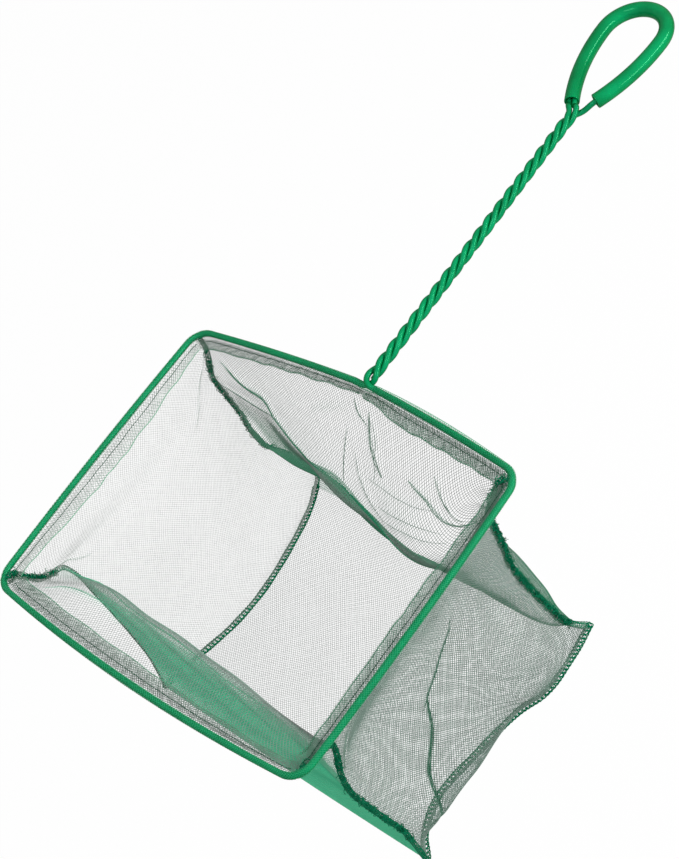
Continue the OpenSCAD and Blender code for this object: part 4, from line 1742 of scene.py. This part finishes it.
@dataclass
class CornerBunch:
    """The crumpled cloth and thread ends along a corner seam, from its top down."""

    corner: Corner
    line: Points
    sewing: CornerSewing
    seed: int = 5
    lift_run: float = 30.0
    lengths: Pair = (1.6, 4.2)
    flatness: float = 0.5
    top_z: float = 1.2
    tuft_points: int = 8
    scatter_share: float = 0.36
    bulge_share: float = 0.5
    thickness: Pair = (0.6, 1.1)
    shades: Pair = (0.1, 0.8)
    thread: float = 0.5
    thread_sides: int = 4

    def build(self, shop: Workshop, material: bpy.types.Material) -> bpy.types.Object:
        """Make the bunch.

        Args:
            shop: Workshop that makes the object.
            material: Finish of its thread.

        Returns:
            The piece.
        """
        random = np.random.default_rng(self.seed + self.corner.value)
        along = run_length(self.line)
        t = np.linspace(0, 1, self.tuft_points)[:, None]
        work = ThreadWork()
        for _ in range(self.sewing.tufts):
            s = random.uniform(0.0, self.sewing.reach)
            centre = np.array([np.interp(s, along, column) for column in self.line.T])
            start = centre + random.normal(0, self.sewing.spread * self.scatter_share, 3)
            start += UP * self.sewing.lift * max(0.0, 1 - s / self.lift_run)
            way = unit(random.normal(0, 1, 3) * (1, 1, self.flatness))
            size = random.uniform(*self.lengths)
            bend = np.cross(way, unit(random.normal(0, 1, 3)))
            curl = start + way * size * (t - 0.5) + bend * size * self.bulge_share * np.sin(np.pi * t)
            curl[:, 2] = np.minimum(curl[:, 2], self.top_z)
            work.add(curl, random.uniform(*self.thickness), random.uniform(*self.shades))
        piece = work.swept(shop, f"corner_bunch_{self.corner.name.lower()}", self.thread, material,
                           self.thread_sides)
        return shop.report(piece, Body.FRAME, Slot.SEAM)


# The bag


@dataclass
class Bag:
    """The net bag with its hems and seams."""

    form: BagForm
    # Painted light and shade: all sides are one net, but its thread is given a lighter shade on the left and
    # the floor, darker ones on the near and right sides and a bright deep green on the far side, for how each
    # side is lit and layered.
    nets: dict[Side, tuple[Net, Thread]] = field(default_factory=lambda: {
        Side.NEAR: (Net(0.25, seed=12), Thread("net_thread_near", (0.17, 0.20, 0.18), (0.012, 0.26, 0.125))),
        Side.RIGHT: (Net(0.38, seed=13),
                     Thread("net_thread_right", (0.19, 0.285, 0.235), (0.006, 0.15, 0.072))),
        Side.FAR: (Net(0.24, seed=14), Thread("net_thread_far", (0.27, 0.31, 0.285), (0.04, 0.70, 0.36))),
        Side.LEFT: (Net(0.215, seed=15), Thread("net_thread_left", (0.60, 0.62, 0.60)))})
    floor_net: Net = Net(0.24, seed=16)
    floor_thread: Thread = Thread("net_thread_floor", (0.33, 0.36, 0.34))
    seam_thread: Thread = Thread("seam_thread_green", (0.003, 0.25, 0.115), (0.001, 0.105, 0.050), 0.06)
    sewing_thread: Thread = Thread("hem_sewing_thread", (0.010, 0.095, 0.050))
    corners: dict[Corner, CornerSewing] = field(default_factory=lambda: {
        Corner.NEAR_RIGHT: CornerSewing(3.6, (0.6, -0.3, 0.75), 158.0, 2.3, 950, 5.0),
        Corner.FAR_RIGHT: CornerSewing(2.9, (0.6, -0.3, 0.75), 150.0, 1.6, 420, 3.0),
        Corner.FAR_LEFT: CornerSewing(3.0, (1.0, 1.0, 0.6), 34.0, 2.6, 300, 4.0),
        Corner.NEAR_LEFT: CornerSewing(2.8, (1.0, -1.0, 0.6), 120.0, 1.7, 420, 3.0)})
    corner_stitch: Stitch = Stitch(1.7, 1.7, 0.0, 0.52, 14.0, 34.0)
    corner_filler: int = 5
    corner_seed: int = 40
    floor_stitch: Stitch = Stitch(2.6, 2.3, 4.4, 0.85, 16.0, 9.0)
    floor_filler: int = 3
    floor_seed: int = 50
    floor_seam_w: float = 4.2
    floor_seam_lift: float = 0.6
    stitching_share: float = 0.42
    edging_share: float = 0.98
    edged: tuple[int, ...] = (0, 1, 4)
    hem_stitch: Stitch = Stitch(2.1, 1.9, 0.32, 0.26, 0.0, 6.0)
    hem_seed: int = 8
    edging_stitch: Stitch = Stitch(1.9, 1.2, 1.6, 0.2, 20.0, 30.0)
    edging_seed: int = 9

    def build(self, shop: Workshop) -> None:
        """Make the whole bag.

        Args:
            shop: Workshop that makes the objects.
        """
        for side, panel in self.form.panels().items():
            NetPanel(panel, *self.nets[side]).build(shop, Body.FRAME)
        NetPanel(self.form.floor_panel(), self.floor_net, self.floor_thread).build(shop, Body.FLOOR)
        self.build_seams(shop)
        self.build_hems(shop)

    def build_seams(self, shop: Workshop) -> None:
        """Make the corner and floor seams, and the bunches at the corners.

        Args:
            shop: Workshop that makes the objects.
        """
        thread = self.seam_thread.made()
        for corner, sewing in self.corners.items():
            line = self.form.seam(corner)
            seam = OverlockSeam(f"corner_seam_{corner.name.lower()}", line, unit(np.array(sewing.lay)),
                                Body.FRAME, sewing.width, self.corner_seed + corner.value,
                                replace(self.corner_stitch, width=sewing.width), self.corner_filler)
            Collapse.squash(seam.build(shop, thread))
            Collapse.squash(CornerBunch(corner, line, sewing).build(shop, thread))
        for side, knots in ((Side.LEFT, self.form.left_waist), (Side.RIGHT, self.form.right_waist)):
            line = self.form.floor_line(knots) + UP * self.floor_seam_lift
            OverlockSeam(f"floor_seam_{side.value}", line, UP, Body.FLOOR, self.floor_seam_w,
                         self.floor_seed, self.floor_stitch, self.floor_filler).build(shop, thread)

    def hems(self) -> list[Hem]:
        """The hems of the hoop's five edges."""
        wire, deep = self.form.wire, (0.004, 0.42, 0.175)
        # Painted light and shade: the hems are one net, but the near-right and right hems take a darker
        # shade, the far and near-left ones a paler one and the left one the palest, for how each is lit.
        dark_shaded = Thread("hem_thread_doubled", (0.20, 0.31, 0.25), deep)
        pale = Thread("hem_thread_pale", (0.27, 0.31, 0.285), deep)
        faint = Thread("hem_thread_faint", (0.60, 0.62, 0.60), deep)
        return [
            Hem("hem_near_right", 0, wire, dark_shaded, 10.0, Net(0.22, 1.0, 2.0, 0.1, 31), ramp=0.3, slack=1.4),
            Hem("hem_right", 1, wire, dark_shaded, 9.8, Net(0.22, 1.0, 2.0, 0.1, 32), slope=2.0, drop=0.6),
            Hem("hem_far", 2, wire, pale, 10.5, Net(0.21, 1.15, 2.1, 0.08, 34), taper=5.0, slope=8.0),
            Hem("hem_left", 3, wire, faint, 8.0, Net(0.19, 1.5, 2.2, 0.12, 33), belly=5.0, edge_shade=0.8),
            Hem("hem_near_left", 4, wire, pale, 9.5, Net(0.21, 1.1, 2.1, 0.1, 35), ramp=1.1)]

    def build_hems(self, shop: Workshop) -> None:
        """Make the hems and their stitching.

        Args:
            shop: Workshop that makes the objects.
        """
        stitching, edging = ThreadWork(), ThreadWork()
        for hem in self.hems():
            hem.build(shop)
            stitching.add(hem.line_at(self.stitching_share))
            if hem.edge in self.edged:
                edging.add(hem.line_at(self.edging_share))
        sewn = self.sewing_thread.made()
        piece = stitching.stitched(shop, "hem_stitches", self.hem_stitch, sewn, self.hem_seed)
        shop.joined(piece, edging.stitched(shop, "hem_edging", self.edging_stitch, sewn, self.edging_seed))
        shop.report(piece, Body.FRAME, Slot.SEAM, "hem_thread")


# Studio


@dataclass
class Lamp:
    """A soft lamp that points at the middle of the net. Sizes are metres and the power is in watts."""

    name: str
    place: Triple
    size: Pair
    power: float
    aim: Triple = (0.0, -0.25, -0.05)

    def hang(self) -> None:
        """Put the lamp into the scene."""
        data = bpy.data.lights.new(self.name, "AREA")
        data.shape = "RECTANGLE"
        (data.size, data.size_y), data.energy = self.size, self.power
        lamp = bpy.data.objects.new(self.name, data)
        lamp.location = self.place
        lamp.rotation_euler = (Vector(self.aim) - Vector(self.place)).to_track_quat("-Z", "Y").to_euler()
        bpy.context.scene.collection.objects.link(lamp)


@dataclass
class Studio:
    """Camera, pale floor and soft light, in metres."""

    camera_at: Triple = (0.6365, -0.5345, 0.717)
    aim: Triple = (-0.642, 0.240, -0.728)
    up: Triple = (-0.327, 0.773, 0.5435)
    clip: Pair = (0.01, 20.0)
    focal_px: float = 1800.0
    frame_h_px: float = 859.0
    sensor_h: float = 24.0
    floor_z: float = -0.56
    floor_size: float = 8.0
    floor_y: float = -0.2
    floor_grey: float = 0.93
    floor_glow: float = 0.97
    ambient: float = 0.5
    lamps: tuple[Lamp, ...] = (Lamp("key_lamp", (1.05, 0.44, 0.42), (1.3, 0.2), 15.0),
                               Lamp("fill_lamp", (0.05, -0.5, 1.3), (0.5, 0.5), 5.0))

    def place_camera(self) -> None:
        """Put the camera where the photograph was taken from."""
        data = bpy.data.cameras.new("photo_camera")
        data.sensor_fit = "VERTICAL"
        data.sensor_height = self.sensor_h
        data.lens = self.focal_px / self.frame_h_px * self.sensor_h
        data.clip_start, data.clip_end = self.clip
        camera = bpy.data.objects.new("photo_camera", data)
        back = -Vector(self.aim).normalized()
        right = Vector(self.up).cross(back).normalized()
        turn = Matrix((right, back.cross(right), back)).transposed().to_4x4()
        camera.matrix_world = Matrix.Translation(self.camera_at) @ turn
        bpy.context.scene.collection.objects.link(camera)
        bpy.context.scene.camera = camera

    def seen(self, sheet: NodeSheet, path: bpy.types.Node) -> bpy.types.Node:
        """One for a ray from the camera, straight or through something clear."""
        return sheet.reckon("MAXIMUM", path.outputs["Is Camera Ray"], path.outputs["Is Transmission Ray"])

    def light_world(self) -> None:
        """Plain soft light from all round, with a white background."""
        world = bpy.data.worlds.new("studio")
        world.use_nodes = True
        bpy.context.scene.world = world
        sheet = NodeSheet(world.node_tree)
        sky = world.node_tree.nodes["Background"].inputs
        path = sheet.add("ShaderNodeLightPath")
        direct = sheet.reckon("MAXIMUM", self.seen(sheet, path), path.outputs["Is Glossy Ray"])
        sheet.feed(sky["Color"], (1.0, 1.0, 1.0, 1.0))
        sheet.feed(sky["Strength"], sheet.add("ShaderNodeMapRange", {
            "Value": direct, "To Min": self.ambient, "To Max": 1.0}))

    def lay_floor(self) -> None:
        """A pale floor well below the hanging bag, which shows white but keeps the shadow."""
        half = self.floor_size / 2
        mesh = bpy.data.meshes.new("studio_floor")
        corners = [(-half, -half), (half, -half), (half, half), (-half, half)]
        mesh.from_pydata([(x, y + self.floor_y, self.floor_z) for x, y in corners], [], [(0, 1, 2, 3)])
        pale = Surface("studio_floor", Base_Color=(*[self.floor_grey] * 3, 1.0), Roughness=0.9,
                       Specular_IOR_Level=0.0)
        share = pale.reckon("MULTIPLY", self.seen(pale, pale.add("ShaderNodeLightPath")), self.floor_glow)
        glow = pale.add("ShaderNodeMixShader", {0: share, 1: pale.shader, 2: pale.add("ShaderNodeEmission")})
        pale.feed(pale.tree.nodes["Material Output"].inputs["Surface"], glow)
        mesh.materials.append(pale.material)
        floor = bpy.data.objects.new("studio_floor", mesh)
        bpy.context.scene.collection.objects.link(floor)

    def build(self) -> None:
        """Set up the studio round the camera."""
        self.light_world()
        self.lay_floor()
        for lamp in self.lamps:
            lamp.hang()
        bpy.context.scene.view_settings.view_transform = "Standard"


def main() -> None:
    """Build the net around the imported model."""
    logging.basicConfig(level=logging.INFO, format="%(name)s: %(message)s")
    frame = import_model()
    studio = Studio()
    studio.place_camera()
    shop = Workshop()
    wire = WireForm()
    WireWork(wire).build(shop, frame)
    Bag(BagForm(wire)).build(shop)
    studio.build()


if __name__ == "__main__":
    main()
